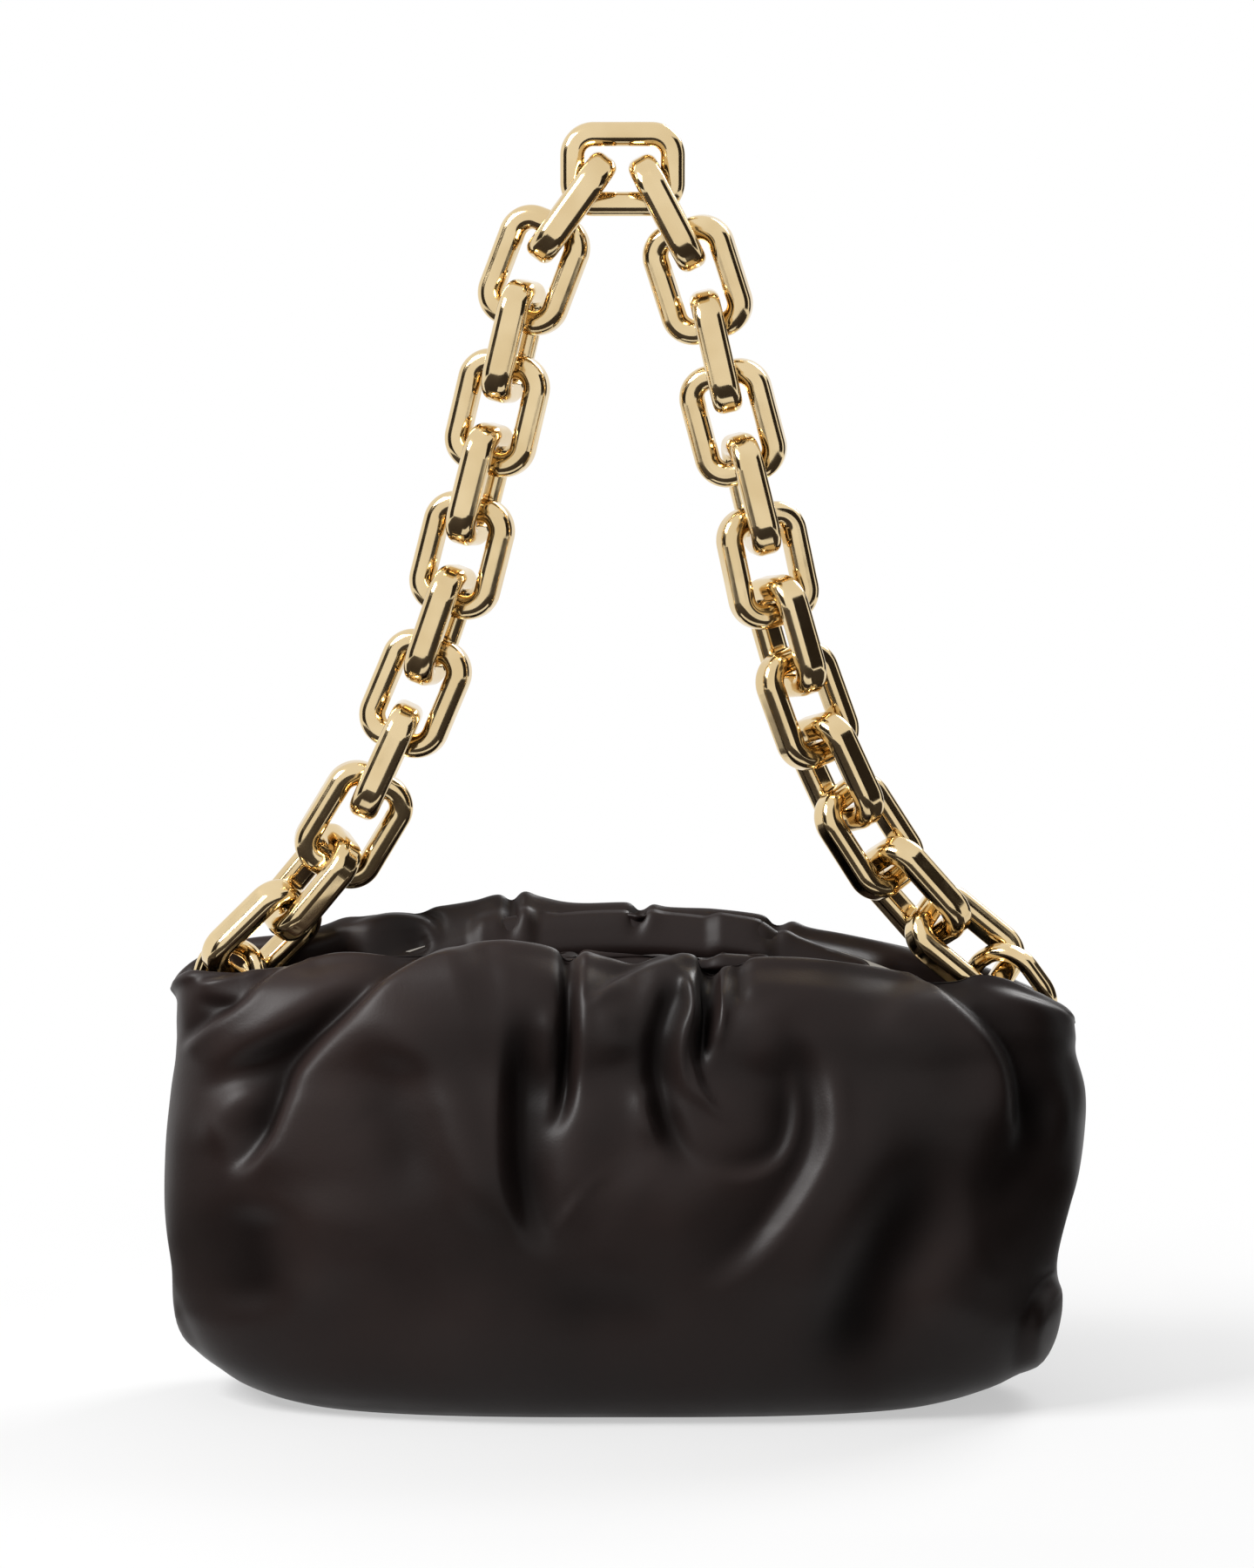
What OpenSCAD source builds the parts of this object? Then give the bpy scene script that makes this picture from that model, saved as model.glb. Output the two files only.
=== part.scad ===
// Chain shoulder bag: a gathered leather pouch on a hinged mouth frame, hung from a heavy link chain.
// The bag is held up by the underside of the top link, which is the origin.
// +X is to the right as seen from the front, +Y runs to the back and +Z is up.

/* [Chain] */
// Outside length of a link
link_length = 41.2; // [39.5:0.1:43]
// Outside width of a link
link_width = 31; // [30:0.25:33]
// Width of a link's bar, in the plane of the link
bar_width = 8; // [7.4:0.1:8.2]
// Depth of a link's bar, across the plane of the link
bar_depth = 10; // [9:0.1:10.4]
// Corner radius of the bar's section
bar_corner = 3.4; // [3:0.1:3.6]
// Outside corner radius of a link
link_corner = 11; // [10.6:0.1:12]
// Running gap between two links in line
link_gap = 0.8; // [0.6:0.05:1]

/* [End rings] */
// Outside length of an end ring
ring_length = 34; // [33:0.25:38]
// Outside width of an end ring
ring_width = 29; // [28:0.25:32]
// Width of a ring's bar, in the plane of the ring
ring_bar = 5.6; // [5:0.1:6]
// Depth of a ring's bar, across the plane of the ring
ring_depth = 6.6; // [5.8:0.1:7]
// Corner radius of the ring's section
ring_section_corner = 2.6; // [2:0.1:2.8]
// Outside corner radius of a ring
ring_corner = 13.5; // [12:0.25:14]

/* [Leather pouch] */
// Greatest width of the pouch
pouch_width = 308; // [302:1:330]
// Greatest depth of the pouch, front to back
pouch_depth = 120; // [112:1:140]
// Height of the pouch from its base to the rim of the body
body_height = 118; // [105:1:140]
// Thickness of the leather with its padding
leather = 2.4; // [1.6:0.1:3]
// Thickness of the lining
lining_wall = 1.2; // [0.8:0.1:1.6]
// Thickness of the base panel
panel_thick = 2.5; // [2:0.1:4]
// Thickness of the stiffening board inside the base
board_thick = 2; // [1.5:0.1:3]
// Gap left between soft pieces
soft_gap = 0.3; // [0.2:0.05:0.4]

/* [Mouth frame] */
// Distance of the mouth's hinges from the lugs, along the pouch
hinge_inset = 43; // [39:0.5:50]
// Rise of a rail's arch above its hinges
rail_rise = 26; // [24:0.5:32]
// Height of a rail's ends above its hinges
rail_foot = 7; // [6:0.25:9]
// Height of the rail strip
rail_width = 8; // [7:0.25:9]
// Thickness of the rail strip
rail_thick = 2; // [1.6:0.1:2.4]
// Forward lean of the front rail as photographed
front_lean_angle = 54; // [50:1:56]
// Backward lean of the back rail as photographed
back_lean_angle = 25; // [22:1:30]
// Radius of a hinge pin
pin_radius = 1.5; // [1.3:0.05:1.8]
// Radial running clearance of a hinge pin
pin_clearance = 0.05; // [0.03:0.01:0.08]
// Radius of a hinge eye
eye_radius = 3.6; // [3.2:0.1:3.8]
// Length of a hinge eye along its pin
eye_length = 4; // [3:0.25:5]
// Gap between neighbouring hinge pieces along the pin
side_gap = 0.4; // [0.3:0.05:0.6]
// Radius of a magnet
magnet_radius = 6; // [5:0.25:7]
// Thickness of a magnet
magnet_thick = 2.4; // [2:0.1:3]
// Distance of a magnet from the middle of its rail
magnet_reach = 40; // [30:1:50]
// Height of the mouth's hinges above the lugs
mouth_rise = 2; // [0:0.5:4]

/* [End brackets] */
// Distance of a lug from the pouch's end
lug_inset = 19; // [18:0.5:22]
// Thickness of the bracket's steel plate
plate_thick = 2.4; // [2:0.1:3]
// Width of the bracket's steel plate, front to back
plate_width = 14; // [12:0.5:16]
// Diameter of the lug's round bar
lug_bar = 5; // [4.4:0.1:5.4]
// Clear width inside the lug, front to back
lug_inside = 15; // [14:0.25:17]
// Clearance between the ring's lowest point and the bracket's arm
ring_clearance = 4; // [3:0.25:6]

/* [Hidden] */
// Smoothness of round work
$fn = 48;

// Lean of each link from the vertical, from the top link down, before the leg is spread to its lug
left_lean_share = [38, 22, 14, 14, 15, 15, 20, 24, 26, 33, 42, 48];
right_lean_share = [28, 18, 13, 15, 14, 12, 16, 20, 25, 33, 42, 51];
// Turn of each link about its own length: 0 faces the front and 90 shows its edge
left_turn = [90, 14, 104, 16, 106, 16, 104, 14, 92, -8, 66, -44];
right_turn = [90, 12, 90, 10, 82, -20, 62, -34, 54, -40, 48, -42];
links_in_leg = len(left_lean_share);
// Lean and turn of the end rings
left_ring_lean_angle = 18;
right_ring_lean_angle = 36;
left_ring_turn = 34;
right_ring_turn = 32;
// Where the first link of each leg sits in the free height of the top link
left_seat_share = 0.3;
right_seat_share = 0.1;
// How far a ring is drawn back into its link, as a share of the ring's bar
left_ring_slack_share = 0.3;
right_ring_slack_share = 0.18;

// Distances of the lugs and of the mouth's hinges from the middle of the pouch
lug_reach = pouch_width / 2 - lug_inset;
hinge_reach = lug_reach - hinge_inset;

// Clear length and width inside a link, and the distance between two links in line
link_inside = link_length - 2 * bar_width;
link_inside_width = link_width - 2 * bar_width;
pitch = link_inside - link_gap;
ring_inside = ring_length - 2 * ring_bar;
// The origin is the underside of the top link's lower bar
top_link_height = link_width / 2;

// Chain legs: side is -1 for the left leg and 1 for the right
function lean_table(side) = side < 0 ? left_lean_share : right_lean_share;
function turn_of(side, i) = side < 0 ? left_turn[i] : right_turn[i];
function heading(side, lean) = [side * sin(lean), 0, -cos(lean)];
// A bar that crosses the view bends at its own centre, one that faces it bends past the contact
function bend(side, i) = -(bar_width / 2 + link_gap / 2) * cos(2 * turn_of(side, i));
function bar_reach(lean) = (bar_width / 2 - bar_corner) * sin(lean)
    + (bar_depth / 2 - bar_corner) * cos(lean) + bar_corner;
function bar_rise(lean) = (bar_width / 2 - bar_corner) * cos(lean)
    + (bar_depth / 2 - bar_corner) * sin(lean) + bar_corner;
function seat_share(side) = side < 0 ? left_seat_share : right_seat_share;
function first_bar(side, lean) = [
    side * (link_inside / 2 - bar_reach(lean) - link_gap * 0.6),
    0,
    top_link_height + seat_share(side) * (link_inside_width / 2 - bar_rise(lean))
];
function link_lean(side, spread, i) = spread * lean_table(side)[i];
function link_centre(side, spread, i) = i == 0
    ? first_bar(side, link_lean(side, spread, 0))
        + heading(side, link_lean(side, spread, 0)) * (link_length - bar_width) / 2
    : link_centre(side, spread, i - 1)
        + heading(side, link_lean(side, spread, i - 1)) * (pitch / 2 + bend(side, i - 1))
        + heading(side, link_lean(side, spread, i)) * (pitch / 2 - bend(side, i - 1));
function leg_end(side, spread) = link_centre(side, spread, links_in_leg - 1)
    + heading(side, link_lean(side, spread, links_in_leg - 1)) * pitch / 2;
function ring_lean(side) = side < 0 ? left_ring_lean_angle : right_ring_lean_angle;
function ring_slack(side) = ring_bar * (side < 0 ? left_ring_slack_share : right_ring_slack_share);
function ring_centre(side, spread) = leg_end(side, spread)
    + heading(side, ring_lean(side)) * ((ring_inside - link_gap) / 2 - ring_slack(side));
// Centre of the lug's bar, which lies inside the ring's lower end
function lug_centre(side, spread) = ring_centre(side, spread)
    + heading(side, ring_lean(side)) * (ring_inside / 2 - link_gap / 2 - lug_bar / 2);

// Each leg is spread until its ring hangs over its lug
function solve_spread(side, low, high, steps) = steps == 0
    ? (low + high) / 2
    : abs(lug_centre(side, (low + high) / 2)[0]) < lug_reach
        ? solve_spread(side, (low + high) / 2, high, steps - 1)
        : solve_spread(side, low, (low + high) / 2, steps - 1);
left_spread = solve_spread(-1, 0.5, 1.5, 30);
right_spread = solve_spread(1, 0.5, 1.5, 30);
function spread_of(side) = side < 0 ? left_spread : right_spread;

// Heights that follow from the chain
left_lug = lug_centre(-1, left_spread);
right_lug = lug_centre(1, right_spread);
lug_height = (left_lug[2] + right_lug[2]) / 2;
ring_low = lug_height + lug_bar / 2 - ring_bar - ring_clearance;
arm_height = ring_low - plate_thick - lug_bar;
mouth_height = lug_height + mouth_rise;
rim_height = arm_height + plate_thick;
base_height = rim_height - body_height;

// Pouch shape: height share of the body, then width and depth as shares of the greatest
body_share = [
    [0, 0.727, 0.68],
    [0.025, 0.81, 0.79],
    [0.07, 0.877, 0.86],
    [0.14, 0.945, 0.925],
    [0.25, 0.977, 0.978],
    [0.4, 0.968, 1],
    [0.55, 0.984, 0.99],
    [0.7, 0.994, 0.955],
    [0.82, 1, 0.9],
    [0.92, 0.994, 0.845],
    [1, 0.98, 0.775]
];
// How square the pouch is in plan: 2 is an ellipse
plan_power = 2.6;
plan_points = 56;
width_share = [for (row = body_share) [row[0], row[1]]];
depth_share = [for (row = body_share) [row[0], row[2]]];
function signed_power(v, p) = sign(v) * pow(abs(v), p);
function plan_point(half_width, half_depth, angle, height) = [
    half_width * signed_power(cos(angle), 2 / plan_power),
    half_depth * signed_power(sin(angle), 2 / plan_power),
    height
];
function body_half_width(share, inset) = pouch_width / 2 * lookup(share, width_share) - inset;
function body_half_depth(share, inset) = pouch_depth / 2 * lookup(share, depth_share) - inset;
function body_point(share, inset, angle, height) = plan_point(
    body_half_width(share, inset), body_half_depth(share, inset), angle, height);
function body_ring(share, inset, height) = [
    for (k = [0 : plan_points - 1]) body_point(share, inset, 360 * k / plan_points, height)
];

// Rail arch: radius from its chord and its rise above its ends
arch_rise = rail_rise - rail_foot;
arch_radius = (hinge_reach * hinge_reach + arch_rise * arch_rise) / (2 * arch_rise);
arch_drop = arch_radius - rail_rise;
function arch_height(x) = sqrt(arch_radius * arch_radius - x * x) - arch_drop;
// A rail's plane: out is 1 for the front rail, which leans towards the viewer
function rail_up(out, lean) = [0, -out * sin(lean), cos(lean)];
function rail_face(out, lean) = [0, -out * cos(lean), -sin(lean)];
front_eye_start = hinge_reach - 2 * eye_length - side_gap;
back_eye_start = hinge_reach - eye_length;
bracket_start = hinge_reach + side_gap;
overrun = eye_radius;

// Section of a bar with rounded corners
module bar_section(width, depth, corner) {
    square([width - 2 * corner, depth], center = true);
    square([width, depth - 2 * corner], center = true);
    for (x = [-1, 1])
        for (y = [-1, 1])
            translate([x * (width / 2 - corner), y * (depth / 2 - corner)])
                circle(corner);
}

// A closed link: its length runs along Z, its width along X and its bar's depth along Y
module closed_link(length, width, bar, depth, section_corner, corner) {
    turn = corner - bar / 2;
    side = width / 2 - corner;
    run = length / 2 - corner;
    rotate([90, 0, 0])
        union() {
            for (x = [-1, 1])
                translate([x * (width / 2 - bar / 2), run, 0])
                    rotate([90, 0, 0])
                        linear_extrude(2 * run)
                            bar_section(bar, depth, section_corner);
            for (y = [-1, 1])
                translate([-side, y * (length / 2 - bar / 2), 0])
                    rotate([90, 0, 90])
                        linear_extrude(2 * side)
                            bar_section(bar, depth, section_corner);
            for (quarter = [0 : 3])
                translate([
                    side * (quarter == 0 || quarter == 3 ? 1 : -1),
                    run * (quarter < 2 ? 1 : -1),
                    0
                ])
                    rotate([0, 0, 90 * quarter])
                        rotate_extrude(angle = 90)
                            translate([turn, 0])
                                bar_section(bar, depth, section_corner);
        }
}

module chain_link() {
    closed_link(link_length, link_width, bar_width, bar_depth, bar_corner, link_corner);
}

module placed_link(side, i) {
    color("burlywood")
        translate(link_centre(side, spread_of(side), i))
            rotate([0, -side * link_lean(side, spread_of(side), i), 0])
                rotate([0, 0, -turn_of(side, i)])
                    chain_link();
}

module top_link() {
    color("burlywood")
        translate([0, 0, top_link_height])
            rotate([0, 90, 0])
                chain_link();
}

module end_ring(side) {
    color("burlywood")
        translate(ring_centre(side, spread_of(side)))
            rotate([0, -side * ring_lean(side), 0])
                rotate([0, 0, -(side < 0 ? left_ring_turn : right_ring_turn)])
                    closed_link(ring_length, ring_width, ring_bar, ring_depth,
                        ring_section_corner, ring_corner);
}

// Staple that the ring hangs from: a round bar bent into a U, standing on the bracket's arm
module lug(top, foot) {
    bend_radius = lug_bar;
    half = lug_inside / 2 + lug_bar / 2;
    run = half - bend_radius;
    translate([0, 0, top - bend_radius])
        rotate([90, 0, 90])
            union() {
                for (side = [-1, 1])
                    translate([side * half, 0, 0])
                        rotate([90, 0, 0])
                            linear_extrude(top - bend_radius - foot)
                                circle(d = lug_bar);
                translate([-run, bend_radius, 0])
                    rotate([90, 0, 90])
                        linear_extrude(2 * run)
                            circle(d = lug_bar);
                for (quarter = [0, 1])
                    translate([run * (quarter == 0 ? 1 : -1), 0, 0])
                        rotate([0, 0, 90 * quarter])
                            rotate_extrude(angle = 90)
                                translate([bend_radius, 0])
                                    circle(d = lug_bar);
            }
}

// How far the end wall's inside reaches at half a plate's width from the middle
arm_width = lug_inside + 2 * lug_bar;
wall_inset = leather + lining_wall + 3 * soft_gap;
arm_end = body_half_width(1, wall_inset)
    * pow(1 - pow(arm_width / 2 / body_half_depth(1, wall_inset), plan_power), 1 / plan_power);

// End bracket: an ear round the hinge pin, an arm out to the lug, and a flange sewn to the end wall
module end_bracket(side) {
    lug_point = side < 0 ? left_lug : right_lug;
    ear_top = mouth_height + eye_radius + plate_thick / 2;
    color("silver")
        mirror([side < 0 ? 1 : 0, 0, 0])
            union() {
                difference() {
                    translate([bracket_start, -plate_width / 2, arm_height])
                        cube([plate_thick, plate_width, ear_top - arm_height]);
                    translate([bracket_start - overrun, 0, mouth_height])
                        rotate([0, 90, 0])
                            cylinder(h = plate_thick + 2 * overrun, r = pin_radius + pin_clearance);
                }
                translate([bracket_start, -arm_width / 2, arm_height])
                    cube([arm_end - bracket_start, arm_width, plate_thick]);
                translate([arm_end - plate_thick, -arm_width / 2, arm_height - plate_width])
                    cube([plate_thick, arm_width, plate_width + plate_thick]);
                translate([abs(lug_point[0]), 0, 0])
                    lug(lug_point[2], arm_height + plate_thick / 2);
            }
}

// Headed pin that both rails and the bracket share
module hinge_pin(side) {
    inner = front_eye_start - side_gap;
    outer = bracket_start + plate_thick + side_gap;
    head = pin_radius * 0.7;
    color("silver")
        translate([side < 0 ? -outer : inner, 0, mouth_height])
            rotate([0, 90, 0])
                union() {
                    cylinder(h = outer - inner, r = pin_radius);
                    translate([0, 0, -head])
                        cylinder(h = head, r = pin_radius * 1.7);
                    translate([0, 0, outer - inner])
                        cylinder(h = head, r = pin_radius * 1.7);
                }
}

// Outline of a rail: the arched strip above the eyes, and an ear down to each eye
module rail_outline(eye_start) {
    intersection() {
        translate([0, -arch_drop])
            difference() {
                circle(arch_radius + rail_width / 2, $fn = 180);
                circle(arch_radius - rail_width / 2, $fn = 180);
            }
        translate([-eye_start - eye_length, rail_foot])
            square([2 * (eye_start + eye_length), rail_rise + rail_width]);
    }
    for (x = [-1, 1])
        translate([x * (eye_start + eye_length / 2), rail_foot / 2])
            square([eye_length, rail_foot + rail_width / 2], center = true);
}

module rail(out, lean, eye_start) {
    color("silver")
        translate([0, 0, mouth_height])
            rotate([out * lean, 0, 0])
                difference() {
                    union() {
                        translate([0, rail_thick / 2, 0])
                            rotate([90, 0, 0])
                                linear_extrude(rail_thick)
                                    rail_outline(eye_start);
                        for (x = [-eye_start - eye_length, eye_start])
                            translate([x, 0, 0])
                                rotate([0, 90, 0])
                                    cylinder(h = eye_length, r = eye_radius);
                    }
                    for (x = [-eye_start - eye_length - overrun, eye_start - overrun])
                        translate([x, 0, 0])
                            rotate([0, 90, 0])
                                cylinder(h = eye_length + 2 * overrun, r = pin_radius + pin_clearance);
                }
}

// Two magnets on the face of a rail that meets the other rail
module magnets(out, lean) {
    color("dimgray")
        translate([0, 0, mouth_height])
            rotate([out * lean, 0, 0])
                for (x = [-1, 1])
                    translate([x * magnet_reach, out * rail_thick / 2, arch_height(magnet_reach)])
                        rotate([-out * 90, 0, 0])
                            cylinder(h = magnet_thick, r = magnet_radius);
}

// Skin between a stack of rings, closed by its first and last ring
module ring_stack(rings) {
    count = len(rings[0]);
    levels = len(rings);
    points = [for (ring = rings) each ring];
    sides = [
        for (j = [0 : levels - 2])
            for (k = [0 : count - 1])
                let (next = (k + 1) % count)
                    each [
                        [j * count + k, (j + 1) * count + k, (j + 1) * count + next],
                        [j * count + k, (j + 1) * count + next, j * count + next]
                    ]
    ];
    first = [for (k = [0 : count - 1]) k];
    last = [for (k = [0 : count - 1]) levels * count - 1 - k];
    polyhedron(points, concat(sides, [first], [last]), convexity = 6);
}

// Open tub that follows the pouch's shape between two height shares
module tub(inset, wall, bottom, floor_thick) {
    bottom_height = base_height + bottom;
    height_at = function (share) max(base_height + share * body_height, bottom_height);
    shares = [for (row = body_share) row[0]];
    outer = [
        for (share = shares)
            if (base_height + share * body_height > bottom_height || share == 0)
                body_ring(share, inset, share == 0 ? bottom_height : height_at(share))
    ];
    floor_height = bottom_height + floor_thick;
    inner = [
        for (j = [len(shares) - 1 : -1 : 0])
            if (base_height + shares[j] * body_height > floor_height || j == 0)
                body_ring(shares[j], inset + wall, j == 0 ? floor_height : height_at(shares[j]))
    ];
    ring_stack(concat(outer, inner));
}

module leather_body() {
    color("#2b2423")
        tub(0, leather, panel_thick, leather);
}

module lining() {
    floor_at = panel_thick + leather + soft_gap + board_thick + soft_gap;
    color("dimgray")
        tub(leather + soft_gap, lining_wall, floor_at, lining_wall);
}

module base_panel() {
    color("#241e1d")
        translate([0, 0, base_height])
            linear_extrude(panel_thick)
                polygon([for (p = body_ring(0, leather, 0)) [p[0], p[1]]]);
}

module base_board() {
    color("gray")
        translate([0, 0, base_height + panel_thick + leather])
            linear_extrude(board_thick)
                polygon([for (p = body_ring(0, 2 * leather, 0)) [p[0], p[1]]]);
}

// Skin between two matching grids of points, with closed edges
module grid_skin(outer, inner) {
    rows = len(outer);
    cols = len(outer[0]);
    points = concat([for (row = outer) each row], [for (row = inner) each row]);
    far = rows * cols;
    faces = [
        for (r = [0 : rows - 2])
            for (c = [0 : cols - 2])
                let (a = r * cols + c, b = a + 1, d = a + cols, e = d + 1)
                    each [[a, b, e], [a, e, d], [far + a, far + e, far + b], [far + a, far + d, far + e]],
        for (r = [0 : rows - 2])
            let (a = r * cols, d = a + cols, b = a + cols - 1, e = b + cols)
                each [[a, d, far + d], [a, far + d, far + a], [b, far + b, far + e], [b, far + e, e]],
        for (c = [0 : cols - 2])
            let (a = c, b = c + 1, d = (rows - 1) * cols + c, e = d + 1)
                each [[a, far + a, far + b], [a, far + b, b], [d, e, far + e], [d, far + e, far + d]]
    ];
    polyhedron(points, faces, convexity = 8);
}

// Gathered leather between the rim of the body and one rail
gather_rows = 44;
gather_cols = 8;
// Part of the rim that a gather covers, in degrees either side of its middle
gather_half_angle = 88;
// Part of a gather's upper edge that lies on the rail, and the end of that part along the rail
rail_part_share = 0.62;
rail_end_share = 0.98;
// Where the upper edge goes beyond the rail, as shares of the rim's half width and of the arm's width
collar_share = [0.94, 1];
collar_end_share = 0.985;
// How far the collar stands above the rim at its end, as a share of the mouth's height above it
collar_rise_share = 0.45;
// How fast the leather goes from puffed in the middle to flat at its ends
flatten_power = 4;
function mix(a, b, t) = a + (b - a) * t;
function curve(a, b, c, t) = mix(mix(a, b, t), mix(b, c, t), t);
// The lips stand above their rails: the back one more than the front one
front_lip_rise = 2.5;
back_lip_rise = 8;
function lip_rise(out) = out > 0 ? front_lip_rise : back_lip_rise;
function rail_edge(out, lean, x) = [x, 0, mouth_height]
    + rail_up(out, lean) * (arch_height(x) + rail_width / 2 + lip_rise(out))
    + [0, -out * (rail_thick / 2 + 2 * soft_gap), 0];
function rim_point(out, across) = body_point(
    1, 0, -out * 90 + out * gather_half_angle * across, rim_height + soft_gap);
function upper_edge(out, lean, across) =
    let (
        side = sign(across),
        rail_end = side * hinge_reach * rail_end_share,
        start = rail_edge(out, lean, rail_end),
        corner = [
            side * body_half_width(1, 0) * collar_share[0],
            -out * (arm_width * collar_share[1] + leather),
            start[2]
        ],
        rim_end = rim_point(out, side),
        finish = [
            rim_end[0] * collar_end_share,
            rim_end[1],
            mix(rim_end[2], mouth_height, collar_rise_share)
        ]
    )
    abs(across) < rail_part_share
        ? rail_edge(out, lean, rail_end * abs(across) / rail_part_share)
        : curve(start, corner, finish, (abs(across) - rail_part_share) / (1 - rail_part_share));
function gather_point(out, lean, across, up) =
    let (
        rim = rim_point(out, across),
        top = upper_edge(out, lean, across),
        full = [rim[0], rim[1], top[2]],
        straight = (rim + top) / 2
    )
    curve(rim, mix(full, straight, pow(abs(across), flatten_power)), top, up);
function unit(v) = v / norm(v);
// A point of the inner skin lies one leather behind the outer skin, square to it
function gather_inner(out, lean, across, up) =
    let (
        step = 0.004,
        along = gather_point(out, lean, min(across + step, 1), up)
            - gather_point(out, lean, max(across - step, -1), up),
        rise = gather_point(out, lean, across, min(up + step, 1))
            - gather_point(out, lean, across, max(up - step, 0))
    )
    gather_point(out, lean, across, up) - out * leather * unit(cross(along, rise));

module gather(out, lean) {
    outer = [
        for (r = [0 : gather_rows])
            [for (c = [0 : gather_cols])
                gather_point(out, lean, 2 * r / gather_rows - 1, c / gather_cols)]
    ];
    inner = [
        for (r = [0 : gather_rows])
            [for (c = [0 : gather_cols])
                gather_inner(out, lean, 2 * r / gather_rows - 1, c / gather_cols)]
    ];
    color("#2b2423")
        if (out > 0)
            grid_skin(outer, inner);
        else
            grid_skin(inner, outer);
}

top_link();
placed_link(-1, 0);  // left_link_01
placed_link(-1, 1);  // left_link_02
placed_link(-1, 2);  // left_link_03
placed_link(-1, 3);  // left_link_04
placed_link(-1, 4);  // left_link_05
placed_link(-1, 5);  // left_link_06
placed_link(-1, 6);  // left_link_07
placed_link(-1, 7);  // left_link_08
placed_link(-1, 8);  // left_link_09
placed_link(-1, 9);  // left_link_10
placed_link(-1, 10);  // left_link_11
placed_link(-1, 11);  // left_link_12
placed_link(1, 0);  // right_link_01
placed_link(1, 1);  // right_link_02
placed_link(1, 2);  // right_link_03
placed_link(1, 3);  // right_link_04
placed_link(1, 4);  // right_link_05
placed_link(1, 5);  // right_link_06
placed_link(1, 6);  // right_link_07
placed_link(1, 7);  // right_link_08
placed_link(1, 8);  // right_link_09
placed_link(1, 9);  // right_link_10
placed_link(1, 10);  // right_link_11
placed_link(1, 11);  // right_link_12
end_ring(-1);  // left_ring
end_ring(1);  // right_ring
end_bracket(-1);  // left_bracket
end_bracket(1);  // right_bracket
hinge_pin(-1);  // left_hinge_pin
hinge_pin(1);  // right_hinge_pin
rail(1, front_lean_angle, front_eye_start);  // front_rail
rail(-1, back_lean_angle, back_eye_start);  // back_rail
magnets(1, front_lean_angle);  // front_magnets
magnets(-1, back_lean_angle);  // back_magnets
leather_body();
base_panel();
base_board();
lining();
gather(1, front_lean_angle);  // front_gather
gather(-1, back_lean_angle);  // back_gather
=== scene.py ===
import math
import bpy
import numpy as np
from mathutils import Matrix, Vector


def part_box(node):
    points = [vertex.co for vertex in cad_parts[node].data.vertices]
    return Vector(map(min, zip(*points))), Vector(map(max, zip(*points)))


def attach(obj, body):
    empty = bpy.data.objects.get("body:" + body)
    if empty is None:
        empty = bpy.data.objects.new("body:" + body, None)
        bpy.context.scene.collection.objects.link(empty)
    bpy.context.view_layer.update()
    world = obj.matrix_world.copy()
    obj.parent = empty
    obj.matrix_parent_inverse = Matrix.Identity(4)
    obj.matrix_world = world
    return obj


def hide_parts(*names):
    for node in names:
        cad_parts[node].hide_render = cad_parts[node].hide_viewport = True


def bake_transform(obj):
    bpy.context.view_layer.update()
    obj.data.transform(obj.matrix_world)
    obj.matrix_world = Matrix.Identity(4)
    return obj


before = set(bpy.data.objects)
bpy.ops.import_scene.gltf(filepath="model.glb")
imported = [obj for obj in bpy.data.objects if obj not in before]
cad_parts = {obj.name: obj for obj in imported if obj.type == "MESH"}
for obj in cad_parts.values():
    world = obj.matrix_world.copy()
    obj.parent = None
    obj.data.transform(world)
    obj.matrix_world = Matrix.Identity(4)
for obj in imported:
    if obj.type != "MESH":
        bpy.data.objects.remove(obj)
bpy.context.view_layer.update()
bpy.context.scene.view_settings.view_transform = "Standard"

# Sizes are in millimetres unless a note says metres; meshes are scaled as they are made
mm = 0.001


def linear(colour):
    parts = [int(colour[i:i + 2], 16) / 255 for i in (1, 3, 5)]
    return [p / 12.92 if p <= 0.04045 else ((p + 0.055) / 1.055) ** 2.4 for p in parts] + [1]


# Camera: a long lens a little above the bag. The photograph is 1440 by 1800 pixels, its middle
# is at "middle", and "pixel" is the size of one of them where the camera aims
view = {
    "lens": 150,
    "sensor": 36,
    "distance": 2181,
    "elevation": 7,
    "aim": (1.45, 0, -189),
    "pixel": 0.2908,
    "middle": (720, 900),
    "clipEnd": 50,
}


def photoPixel(points):
    # Where points of the bag lie in the photograph
    tilt = math.radians(view["elevation"])
    x, y, z = [points[..., i] - view["aim"][i] for i in range(3)]
    up = z * math.cos(tilt) + y * math.sin(tilt)
    depth = view["distance"] + y * math.cos(tilt) - z * math.sin(tilt)
    scale = view["distance"] / depth / view["pixel"]
    return view["middle"][0] + x * scale, view["middle"][1] - up * scale


def addCamera():
    tilt = math.radians(view["elevation"])
    data = bpy.data.cameras.new("camera")
    data.lens = view["lens"]
    data.sensor_width = view["sensor"]
    data.sensor_fit = "AUTO"
    data.clip_end = view["clipEnd"]
    camera = bpy.data.objects.new("camera", data)
    camera.location = (
        view["aim"][0] * mm,
        (view["aim"][1] - view["distance"] * math.cos(tilt)) * mm,
        (view["aim"][2] + view["distance"] * math.sin(tilt)) * mm,
    )
    camera.rotation_euler = (math.radians(90) - tilt, 0, 0)
    bpy.context.scene.collection.objects.link(camera)
    bpy.context.scene.camera = camera


addCamera()
print("camera")


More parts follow.
